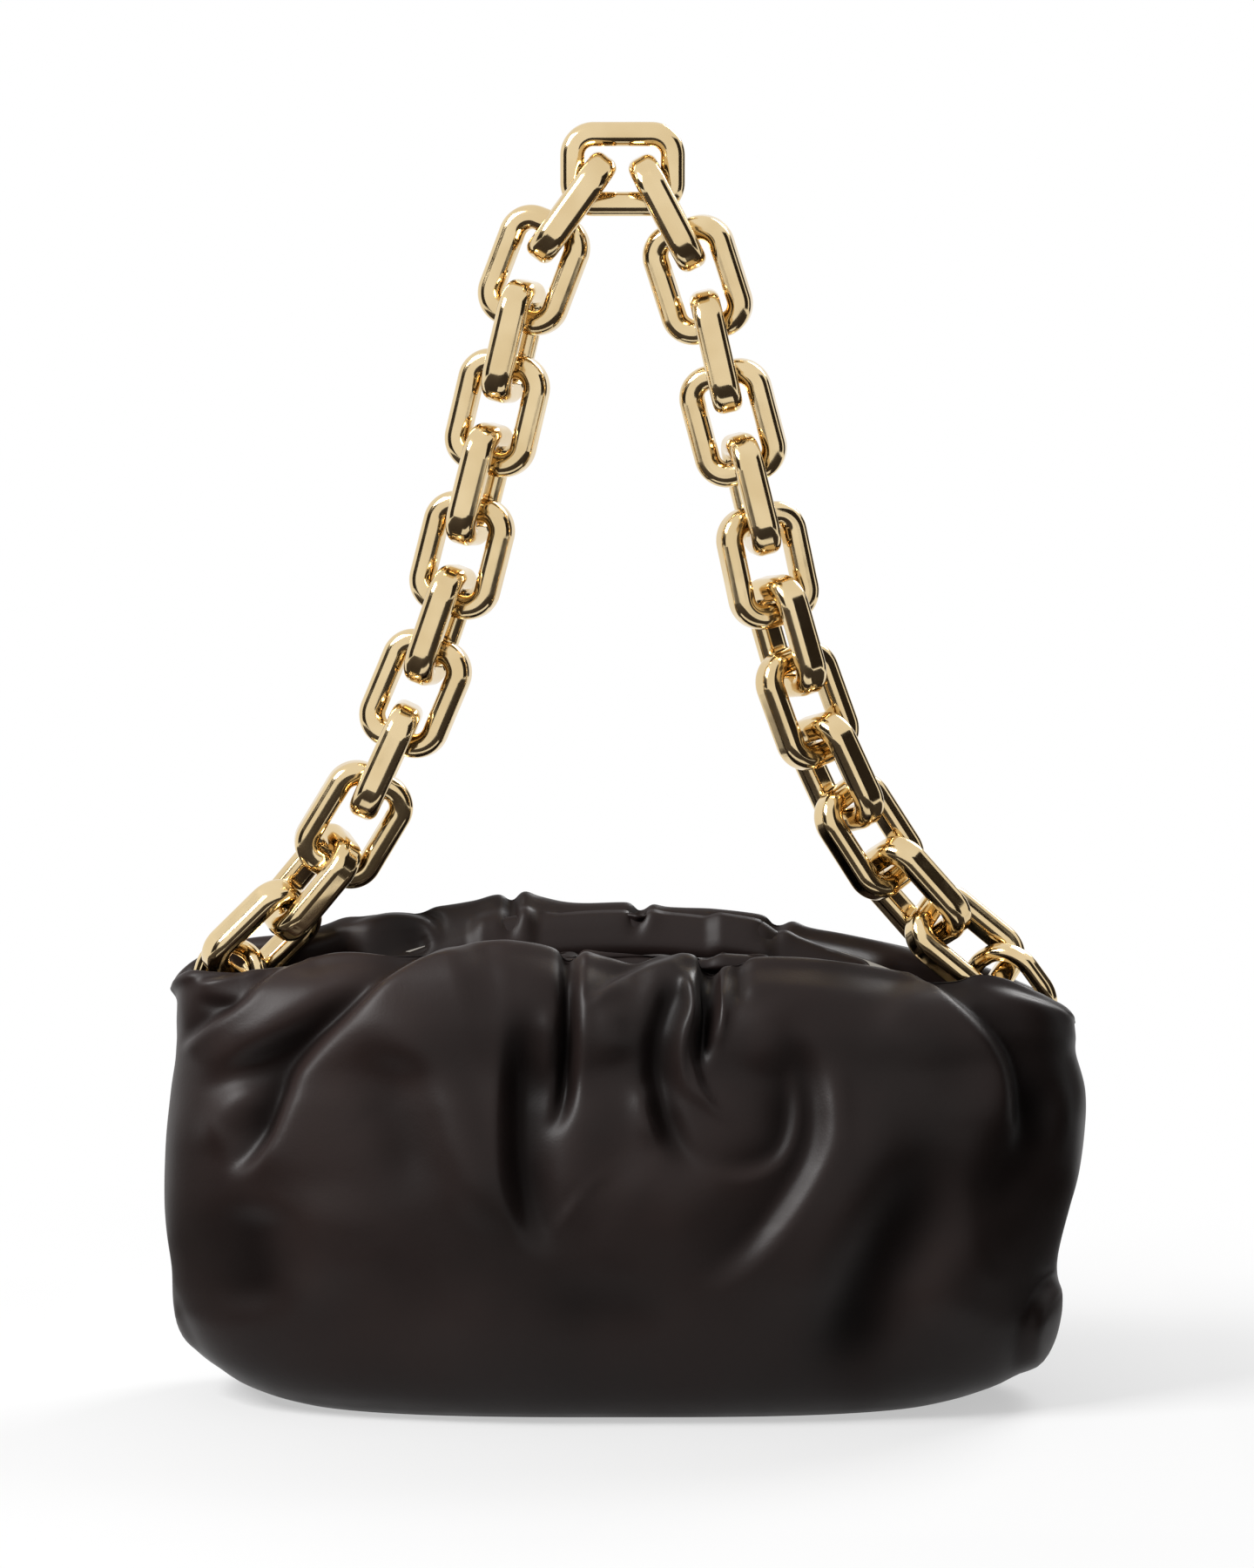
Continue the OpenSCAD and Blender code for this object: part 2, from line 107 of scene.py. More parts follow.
# Materials. Noise and cell scales are cells a metre, bump depths are metres
def addNode(tree, kind, inputs=None, stops=None, **settings):
    # A node with its settings and links; stops are a colour ramp's positions and colours
    node = tree.nodes.new(kind)
    for name, value in settings.items():
        setattr(node, name, value)
    for name, value in (inputs or {}).items():
        socket = node.inputs[name]
        if isinstance(value, bpy.types.NodeSocket):
            tree.links.new(value, socket)
        else:
            socket.default_value = value
    if stops:
        elements = node.color_ramp.elements
        while len(elements) < len(stops):
            elements.new(0.5)
        for element, (position, colour) in zip(elements, stops):
            element.position = position
            element.color = linear(colour)
    return node


def newMaterial(name, surface, *values):
    # A material whose last shader "surface" makes, from the Object coordinates and these values
    material = bpy.data.materials.new(name)
    material.use_nodes = True
    tree = material.node_tree
    tree.nodes.clear()
    place = addNode(tree, "ShaderNodeTexCoord").outputs["Object"]
    shader = surface(tree, place, *values)
    addNode(tree, "ShaderNodeOutputMaterial", {"Surface": shader.outputs[0]})
    return material


calf = {
    "cloud": 14,
    "patch": 45,
    "pebble": 1400,
    "wrinkle": 420,
    "pebbleBump": 0.12,
    "pebbleDepth": 0.00012,
    "wrinkleBump": 0.22,
    "wrinkleDepth": 0.00016,
    "roughness": (0.38, 0.48),
    "specular": 0.22,
    "sheen": 0.03,
    # Painted shade in the creases: from the deepest fold depth to the fold height, in millimetres, colour
    # and specular rise from the least share to full
    "creaseShadeDepth": -6,
    "creaseShadeTop": 1.5,
    "creaseShadeDarkest": 0.2,
    "wallColours": ((0.3, "#1b1311"), (0.52, "#211715"), (0.75, "#281c19")),
    "facingColours": ((0.3, "#1a1211"), (0.52, "#201614"), (0.75, "#271b18")),
    "facingGrain": 0.7,
}


def leatherSurface(tree, place, colours, grain):
    # Smooth drum-dyed calf leather: pebbles about 0.7 mm across, wrinkles, a satin finish and painted shade
    # in the bottoms of its folds
    cloud = addNode(tree, "ShaderNodeTexNoise", {
        "Vector": place, "Scale": calf["cloud"], "Detail": 3, "Roughness": 0.55})
    colour = addNode(tree, "ShaderNodeValToRGB", {"Fac": cloud.outputs["Fac"]},
                     stops=colours)
    # Painted shade: the bottoms of the folds get a darker colour and a lower specular level by their depth,
    # in place of the shade that falls in the creases
    fold = addNode(tree, "ShaderNodeAttribute", attribute_name="foldHeight")
    creaseShade = addNode(tree, "ShaderNodeMapRange", {
        "Value": fold.outputs["Fac"], "From Min": calf["creaseShadeDepth"], "From Max": calf["creaseShadeTop"],
        "To Min": calf["creaseShadeDarkest"], "To Max": 1}, interpolation_type="SMOOTHSTEP")
    creaseShadedColour = addNode(tree, "ShaderNodeVectorMath", {0: colour.outputs["Color"], 3: creaseShade.outputs[0]},
                   operation="SCALE")
    creaseShadedSpecular = addNode(tree, "ShaderNodeMath", {0: creaseShade.outputs[0], 1: calf["specular"]},
                    operation="MULTIPLY")
    pebble = addNode(tree, "ShaderNodeTexVoronoi", {
        "Vector": place, "Scale": calf["pebble"], "Randomness": 1}, feature="SMOOTH_F1")
    wrinkle = addNode(tree, "ShaderNodeTexNoise", {
        "Vector": place, "Scale": calf["wrinkle"], "Detail": 4, "Roughness": 0.6})
    patch = addNode(tree, "ShaderNodeTexNoise", {"Vector": place, "Scale": calf["patch"], "Detail": 2})
    low, high = calf["roughness"]
    rough = addNode(tree, "ShaderNodeMapRange", {
        "Value": patch.outputs["Fac"], "From Min": 0.3, "From Max": 0.7, "To Min": low, "To Max": high})
    fine = addNode(tree, "ShaderNodeBump", {
        "Height": pebble.outputs["Distance"], "Strength": calf["pebbleBump"] * grain,
        "Distance": calf["pebbleDepth"]})
    coarse = addNode(tree, "ShaderNodeBump", {
        "Height": wrinkle.outputs["Fac"], "Strength": calf["wrinkleBump"] * grain,
        "Distance": calf["wrinkleDepth"], "Normal": fine.outputs[0]})
    return addNode(tree, "ShaderNodeBsdfPrincipled", {
        "Base Color": creaseShadedColour.outputs[0], "Roughness": rough.outputs[0], "Normal": coarse.outputs[0],
        "Specular IOR Level": creaseShadedSpecular.outputs[0], "Sheen Weight": calf["sheen"], "Sheen Roughness": 0.5})


plating = {
    "colours": ((0.35, "#dcc395"), (0.65, "#e6cfa3")),
    "cloud": 60,
    "smear": 180,
    "ripple": 120,
    "rippleBump": 0.08,
    "rippleDepth": 0.0003,
    "roughness": (0.08, 0.15),
}


def goldSurface(tree, place):
    # Pale gold plating over a light alloy, polished, with faint wear in the roughness
    cloud = addNode(tree, "ShaderNodeTexNoise", {"Vector": place, "Scale": plating["cloud"], "Detail": 2})
    colour = addNode(tree, "ShaderNodeValToRGB", {"Fac": cloud.outputs["Fac"]},
                     stops=plating["colours"])
    smear = addNode(tree, "ShaderNodeTexNoise", {"Vector": place, "Scale": plating["smear"], "Detail": 3})
    low, high = plating["roughness"]
    rough = addNode(tree, "ShaderNodeMapRange", {
        "Value": smear.outputs["Fac"], "From Min": 0.3, "From Max": 0.7, "To Min": low, "To Max": high})
    ripple = addNode(tree, "ShaderNodeTexNoise", {"Vector": place, "Scale": plating["ripple"], "Detail": 1})
    bump = addNode(tree, "ShaderNodeBump", {
        "Height": ripple.outputs["Fac"], "Strength": plating["rippleBump"],
        "Distance": plating["rippleDepth"]})
    return addNode(tree, "ShaderNodeBsdfPrincipled", {
        "Base Color": colour.outputs["Color"], "Metallic": 1, "Roughness": rough.outputs[0],
        "Normal": bump.outputs[0]})


steel = {
    "frame": ("#9d9890", 0.24, 0.36),  # colour, least and greatest roughness
    "magnet": ("#8b8a88", 0.2, 0.3),
    "drawn": (40, 900, 900),
    "bump": 0.1,
    "depth": 0.0001,
}


def steelSurface(tree, place, colour, low, high):
    # Satin nickel-plated steel, drawn lengthwise
    stretch = addNode(tree, "ShaderNodeMapping", {"Vector": place, "Scale": steel["drawn"]})
    line = addNode(tree, "ShaderNodeTexNoise", {"Vector": stretch.outputs[0], "Scale": 1, "Detail": 3})
    rough = addNode(tree, "ShaderNodeMapRange", {
        "Value": line.outputs["Fac"], "To Min": low, "To Max": high})
    bump = addNode(tree, "ShaderNodeBump", {
        "Height": line.outputs["Fac"], "Strength": steel["bump"], "Distance": steel["depth"]})
    return addNode(tree, "ShaderNodeBsdfPrincipled", {
        "Base Color": linear(colour), "Metallic": 1, "Roughness": rough.outputs[0],
        "Normal": bump.outputs[0]})


twill = {
    "colours": ((0.3, "#1a1716"), (0.7, "#262120")),
    "thread": 640,
    "turn": (0.6, 0.78, 0.3),
    "cloud": 30,
    "bump": 0.4,
    "depth": 0.00015,
    "roughness": 0.85,
    "sheen": 0.25,
}


def liningSurface(tree, place):
    # Tightly woven dark twill, drawn a little coarser than its real thread so that it shows
    turned = addNode(tree, "ShaderNodeMapping", {"Vector": place, "Rotation": twill["turn"]})
    thread = addNode(tree, "ShaderNodeTexWave", {
        "Vector": turned.outputs[0], "Scale": twill["thread"], "Distortion": 0.6, "Detail": 1})
    cloud = addNode(tree, "ShaderNodeTexNoise", {"Vector": place, "Scale": twill["cloud"], "Detail": 3})
    colour = addNode(tree, "ShaderNodeValToRGB", {"Fac": cloud.outputs["Fac"]},
                     stops=twill["colours"])
    bump = addNode(tree, "ShaderNodeBump", {
        "Height": thread.outputs["Fac"], "Strength": twill["bump"], "Distance": twill["depth"]})
    return addNode(tree, "ShaderNodeBsdfPrincipled", {
        "Base Color": colour.outputs["Color"], "Roughness": twill["roughness"],
        "Normal": bump.outputs[0], "Sheen Weight": twill["sheen"]})


plastic = {
    "colours": ((0.3, "#484848"), (0.7, "#515151")),
    "speck": 300,
    "bump": 0.2,
    "depth": 0.0002,
    "roughness": 0.6,
}


def boardSurface(tree, place):
    # Moulded grey polypropylene board, faintly mottled and dull
    speck = addNode(tree, "ShaderNodeTexNoise", {"Vector": place, "Scale": plastic["speck"], "Detail": 3})
    colour = addNode(tree, "ShaderNodeValToRGB", {"Fac": speck.outputs["Fac"]},
                     stops=plastic["colours"])
    bump = addNode(tree, "ShaderNodeBump", {
        "Height": speck.outputs["Fac"], "Strength": plastic["bump"], "Distance": plastic["depth"]})
    return addNode(tree, "ShaderNodeBsdfPrincipled", {
        "Base Color": colour.outputs["Color"], "Roughness": plastic["roughness"],
        "Normal": bump.outputs[0]})


leather = newMaterial("darkBrownCalf", leatherSurface, calf["wallColours"], 1)
facing = newMaterial("facingLeather", leatherSurface, calf["facingColours"], calf["facingGrain"])
gold = newMaterial("paleGoldPlating", goldSurface)
frameSteel = newMaterial("satinNickelSteel", steelSurface, *steel["frame"])
magnetSteel = newMaterial("magnetNickel", steelSurface, *steel["magnet"])
lining = newMaterial("liningTwill", liningSurface)
board = newMaterial("polypropyleneBoard", boardSurface)
print("materials")


# Mesh helpers
def makePiece(name, points, faces, material):
    mesh = bpy.data.meshes.new(name)
    mesh.from_pydata([tuple(p) for p in np.asarray(points) * mm], [], faces)
    mesh.materials.append(material)
    mesh.validate()
    mesh.update()
    piece = bpy.data.objects.new(name, mesh)
    bpy.context.scene.collection.objects.link(piece)
    mesh.shade_smooth()
    return piece


def fixNormals(piece):
    bpy.ops.object.select_all(action="DESELECT")
    piece.select_set(True)
    bpy.context.view_layer.objects.active = piece
    bpy.ops.object.mode_set(mode="EDIT")
    bpy.ops.mesh.select_all(action="SELECT")
    bpy.ops.mesh.normals_make_consistent(inside=False)
    bpy.ops.object.mode_set(mode="OBJECT")


def gridFaces(rows, columns, start=0, flip=False):
    faces = []
    for r in range(rows - 1):
        for c in range(columns - 1):
            a = start + r * columns + c
            face = (a, a + 1, a + columns + 1, a + columns)
            faces.append(face[::-1] if flip else face)
    return faces


def unitRows(v):
    return v / np.maximum(np.linalg.norm(v, axis=-1, keepdims=True), 1e-9)


def gridNormals(points):
    across = np.gradient(points, axis=1)
    along = np.gradient(points, axis=0)
    return unitRows(np.cross(across, along))


def smoothStep(v):
    v = np.clip(v, 0, 1)
    return v * v * (3 - 2 * v)


def throughPoints(points, count):
    # A smooth line through a few points, evenly spaced along its length
    points = np.asarray(points, float)
    padded = np.vstack([2 * points[0] - points[1], points, 2 * points[-1] - points[-2]])
    out = []
    for i in range(1, len(padded) - 2):
        a, b, c, d = padded[i - 1:i + 3]
        for t in np.linspace(0, 1, 24, endpoint=False):
            bend = (2 * a - 5 * b + 4 * c - d) * t * t + (3 * b - a - 3 * c + d) * t ** 3
            out.append(0.5 * (2 * b + (c - a) * t + bend))
    out.append(padded[-2])
    out = np.array(out)
    length = np.concatenate([[0], np.cumsum(np.linalg.norm(np.diff(out, axis=0), axis=1))])
    at = np.linspace(0, length[-1], count)
    return np.stack([np.interp(at, length, out[:, i]) for i in range(out.shape[1])], axis=1)


def smoothTable(table, at):
    # Values between the rows of a table, with no corners at the rows
    table = np.asarray(table, float)
    fine = np.linspace(table[0, 0], table[-1, 0], 400)
    values = np.interp(fine, table[:, 0], table[:, 1])
    width = 15
    kernel = np.hanning(2 * width + 1)
    kernel /= kernel.sum()
    before = 2 * values[0] - values[width:0:-1]
    after = 2 * values[-1] - values[-2:-width - 2:-1]
    longer = np.concatenate([before, values, after])
    return np.interp(at, fine, np.convolve(longer, kernel, mode="valid"))


def tubFaces(rows, columns, start=0, flip=False):
    # Faces of a stack of closed rings
    faces = []
    for r in range(rows - 1):
        for c in range(columns):
            d = (c + 1) % columns
            a, b = start + r * columns, start + (r + 1) * columns
            faces.append((a + c, a + d, b + d, b + c) if flip else (a + c, b + c, b + d, a + d))
    return faces


# Heights that the CAD model gives
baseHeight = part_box("base_panel")[0][2] / mm
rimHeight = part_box("leather_body")[1][2] / mm
hingeHeight = (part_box("left_hinge_pin")[0][2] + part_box("left_hinge_pin")[1][2]) / 2 / mm
rimLevel = rimHeight - baseHeight

outward = {"front": -1, "back": 1}  # the way each half faces, along Y
upward = np.array([0, 0, 1])

# The pouch: half widths to the left and right and half depth, by height above the base
pouch = {
    "left": [(0, 112), (2, 122), (6, 132), (12, 141), (20, 149), (32, 152), (42, 151), (58, 153.5),
        (96, 152.5), (120, 149), (150, 147)],
    "right": [(0, 110), (2, 120), (6, 130), (12, 140), (20, 147.5), (28, 148), (40, 145), (56, 149),
        (72, 151), (90, 155), (101, 156), (112, 153), (120, 151), (150, 147)],
    "depth": [(0, 41), (3, 47), (8, 51.5), (16, 55.5), (28, 58.5), (45, 60), (65, 59.5), (85, 57),
        (100, 53.5), (112, 49.5), (120, 46.5), (150, 40)],
    "power": 2.6,  # how square its outline is
    "belly": 60,
    "columns": 300,
    "closer": 1.4,  # how much closer the columns are in the middle, and how far out that reaches
    "closerReach": 82,
    "thick": 1.3,
    "rowLevels": (0.6, 3, 8, 16, 28, 45, 66, 88, 104),
    "levelsTop": 118,
}

# The lip of each half, left to right: x, depth, and the photograph's pixel row of its top edge
lips = {
    "front": [
        (-149.5, 0, 1128), (-147.5, 8, 1118), (-143, 14, 1112), (-134, 16.8, 1112), (-125, 17.2, 1111),
        (-114, 17.5, 1107),
        (-104, 18.5, 1101), (-95, 20, 1094), (-80, 23, 1091), (-60, 26.5, 1086), (-42, 28.5, 1080),
        (-34, 28.5, 1081), (-24, 28, 1086),
        (-17.5, 27.5, 1093), (-14, 27.5, 1097), (-4, 27.5, 1101), (4, 27.5, 1104), (12, 28, 1095),
        (21, 28.5, 1094), (26, 28, 1099), (29, 27.5, 1108),
        (32, 27.5, 1112), (37, 27.5, 1101), (43, 27, 1098), (52, 26, 1097), (65, 24, 1099),
        (84, 20.5, 1108), (97, 18.5, 1117), (109, 17.5, 1119),
        (118, 17.2, 1113), (127, 17, 1120), (137, 15.5, 1136), (143.5, 12, 1148), (148, 7, 1157),
        (149.5, 0, 1166),
    ],
    "back": [
        (-149.5, 0, 1128), (-147.5, 8, 1112), (-143, 14, 1098), (-134, 16.8, 1082), (-125, 17, 1076),
        (-112, 16.5, 1072), (-100, 16, 1062),
        (-90, 15.5, 1047), (-80, 15, 1041), (-65, 15.5, 1041), (-51, 16, 1035), (-43, 16, 1028),
        (-35, 16, 1026), (-28, 16, 1030), (-20, 16, 1036),
        (-12, 16, 1038), (3.5, 16, 1037), (9, 16, 1041), (20, 16, 1042), (31, 16, 1043),
        (46, 15.5, 1049), (55, 15.5, 1057), (64, 15, 1064),
        (76, 14.5, 1071), (96, 14.5, 1086), (109, 16, 1098), (122, 17, 1109), (133, 16.5, 1126),
        (142, 13.5, 1142), (148, 7, 1157), (149.5, 0, 1166),
    ],
}

# The rolled edge of the lip, and the rows of leather below it
lipEdge = {
    "roll": 2.2,
    "middleRoll": 2.4,
    "middleFade": 0.3,
    # The roll's section, in shares of its radius: inwards and up
    "section": ((-1, -0.8), (0, 0), (0.95, -0.85)),
    "rollDrop": 0.6,  # in the same shares, where the outside meets the roll
    "looseDrop": 0.9,  # and where the loose inside leaves it
    # The columns stand straight above the wall as far as the reach, and gather at the ends
    "straightReach": 128,
    "straightFade": 40,
    "straightShare": 0.985,  # their distance from the middle, against the wall's
    "rimBelow": 2,
    # Outside, from rim to lip: share of the height, share of the way inwards
    "outside": ((0.45, 0.12), (0.8, 0.42)),
    "endsOver": 0.6,  # how much of that way it goes at the ends
    # Inside: height on the rail and offset from it where sewn, drop and turn where loose
    "inside": ((6.2, 2.6, 4, 1.0), (2.5, 3.6, 7, 0.95), (-3, 3.6, 10, 0.8), (-7.5, 2.8, 13, 0.6)),
    # Down to the lining: depth below the rim, distance inside the wall
    "down": ((3, 17), (13, 13)),
    "overMagnet": (1.4, 1.8),  # how far it rises and stands out over a magnet
    "sewnShare": 0.99,  # distance from the middle, against the lip's
    "sewnReach": 80,
    "looseOver": 14,
    # Distance between the rows, from the base to the lining
    "spacing": (1.8, 2.2, 2.2, 2.2, 2, 1.7, 1.4, 1.3, 1.25, 1.2,
                1.15, 1.1, 0.9, 0.9, 1.2, 1.5, 1.8, 2.4, 3, 3),
}


def heightOfPixel(y, pixelY):
    # Height of a point at depth y that the photograph shows at that pixel row
    tilt = math.radians(view["elevation"])
    up = (view["middle"][1] - pixelY) * view["pixel"]
    z = (up - y * math.sin(tilt)) / math.cos(tilt)
    for _ in range(4):
        depth = view["distance"] + y * math.cos(tilt) - z * math.sin(tilt)
        z = (up * depth / view["distance"] - y * math.sin(tilt)) / math.cos(tilt)
    return z + view["aim"][2]


def ringPoints(height, angles, out):
    # Half of the pouch's outline at a height above the base: out is -1 for the front, 1 for the back
    left = smoothTable(pouch["left"], height)
    right = smoothTable(pouch["right"], height)
    depth = smoothTable(pouch["depth"], height)
    cos, sin = np.cos(angles), np.sin(angles)
    x = np.sign(cos) * np.abs(cos) ** (2 / pouch["power"]) * np.where(cos < 0, left, right)
    y = out * np.abs(sin) ** (2 / pouch["power"]) * depth
    return np.stack([x, y, np.full_like(x, baseHeight + height)], axis=1)


def wholeRing(height, columns):
    # The pouch's whole outline at a height above the base
    angles = np.linspace(0, 2 * math.pi, columns, endpoint=False)
    ring = ringPoints(height, angles, 1)
    ring[:, 1] = np.sign(np.sin(angles)) * np.abs(ring[:, 1])
    return ring, np.linalg.norm(ring[:, :2], axis=1, keepdims=True)


def columnAngles(count):
    # Angles that space the columns round the pouch, closest in the middle, where the creases are
    fine = np.linspace(math.pi, 0, 4001)
    ring = ringPoints(pouch["belly"], fine, -1)
    step = np.linalg.norm(np.diff(ring, axis=0), axis=1)
    step = step * (1 + pouch["closer"] * np.exp(-(ring[1:, 0] / pouch["closerReach"]) ** 6))
    length = np.concatenate([[0], np.cumsum(step)])
    return np.interp(np.linspace(0, length[-1], count), length, fine)


def blendRows(rails, spacing):
    # Rows of points through a stack of rails, smooth in both directions
    rails = np.asarray(rails)
    padded = np.concatenate([[2 * rails[0] - rails[1]], rails, [2 * rails[-1] - rails[-2]]])
    rows = []
    places = []
    for i in range(len(rails) - 1):
        a, b, c, d = padded[i:i + 4]
        length = np.linalg.norm(c - b, axis=1).mean()
        steps = max(2, int(round(length / spacing[i])))
        knots = [0]
        for p, q in ((a, b), (b, c), (c, d)):
            knots.append(knots[-1] + max(np.linalg.norm(q - p, axis=1).mean(), 1e-3) ** 0.5)
        k0, k1, k2, k3 = knots
        for s in range(steps):
            t = k1 + (k2 - k1) * s / steps
            a1 = (k1 - t) / (k1 - k0) * a + (t - k0) / (k1 - k0) * b
            a2 = (k2 - t) / (k2 - k1) * b + (t - k1) / (k2 - k1) * c
            a3 = (k3 - t) / (k3 - k2) * c + (t - k2) / (k3 - k2) * d
            b1 = (k2 - t) / (k2 - k0) * a1 + (t - k0) / (k2 - k0) * a2
            b2 = (k3 - t) / (k3 - k1) * a2 + (t - k1) / (k3 - k1) * a3
            rows.append((k2 - t) / (k2 - k1) * b1 + (t - k1) / (k2 - k1) * b2)
            places.append(i + s / steps)
    rows.append(rails[-1])
    places.append(len(rails) - 1)
    return np.array(rows), np.array(places)


def foldHeights(px, py, folds):
    # Height of the folds at points of the photograph, in millimetres
    total = np.zeros_like(px)
    for fold in folds:
        line = throughPoints(fold["line"], 40)
        best = np.full(px.shape, 1e9)
        side = np.zeros_like(px)
        along = np.zeros_like(px)
        steps = np.linspace(0, 1, len(line))
        for i in range(len(line) - 1):
            a, b = line[i], line[i + 1]
            d = b - a
            t = np.clip(((px - a[0]) * d[0] + (py - a[1]) * d[1]) / float(d @ d), 0, 1)
            distance = np.hypot(px - a[0] - t * d[0], py - a[1] - t * d[1])
            closer = distance < best
            best = np.where(closer, distance, best)
            side = np.where(closer, np.sign(d[0] * (py - a[1]) - d[1] * (px - a[0])), side)
            along = np.where(closer, steps[i] + t * (steps[i + 1] - steps[i]), along)
        distance = best * view["pixel"] * side
        start, end = [fold.get(key, foldLimits["endFade"]) for key in ("start", "end")]
        fade = smoothStep((1 - along) / end)
        if start:
            fade = fade * smoothStep(along / start)
        if "rise" in fold:
            shape = fold["rise"] * np.exp(-(distance / fold["width"]) ** 2)
        else:
            t = smoothStep(distance / (2 * fold["step"]) + 0.5)
            west, east = [rise * np.exp(-np.abs(distance / reach) ** 1.6)
                          for rise, reach in (fold["west"], fold["east"])]
            shape = east * (1 - t) + west * t
        total += fade * shape
    return total


# Lines of folds are pixels of the photograph, and run down the picture or to the left. Start and
# end are the shares of a line over which its fold fades there, where foldLimits gives another
def ridge(rise, width, line, **fades):
    # A fold that is alike on both sides: a valley's rise is below zero
    return {"rise": rise, "width": width, "line": line, **fades}


def ledge(west, east, step, line, **fades):
    # A fold with a height and a reach for each side: west is the left or upper one
    return {"west": west, "east": east, "step": step, "line": line, **fades}


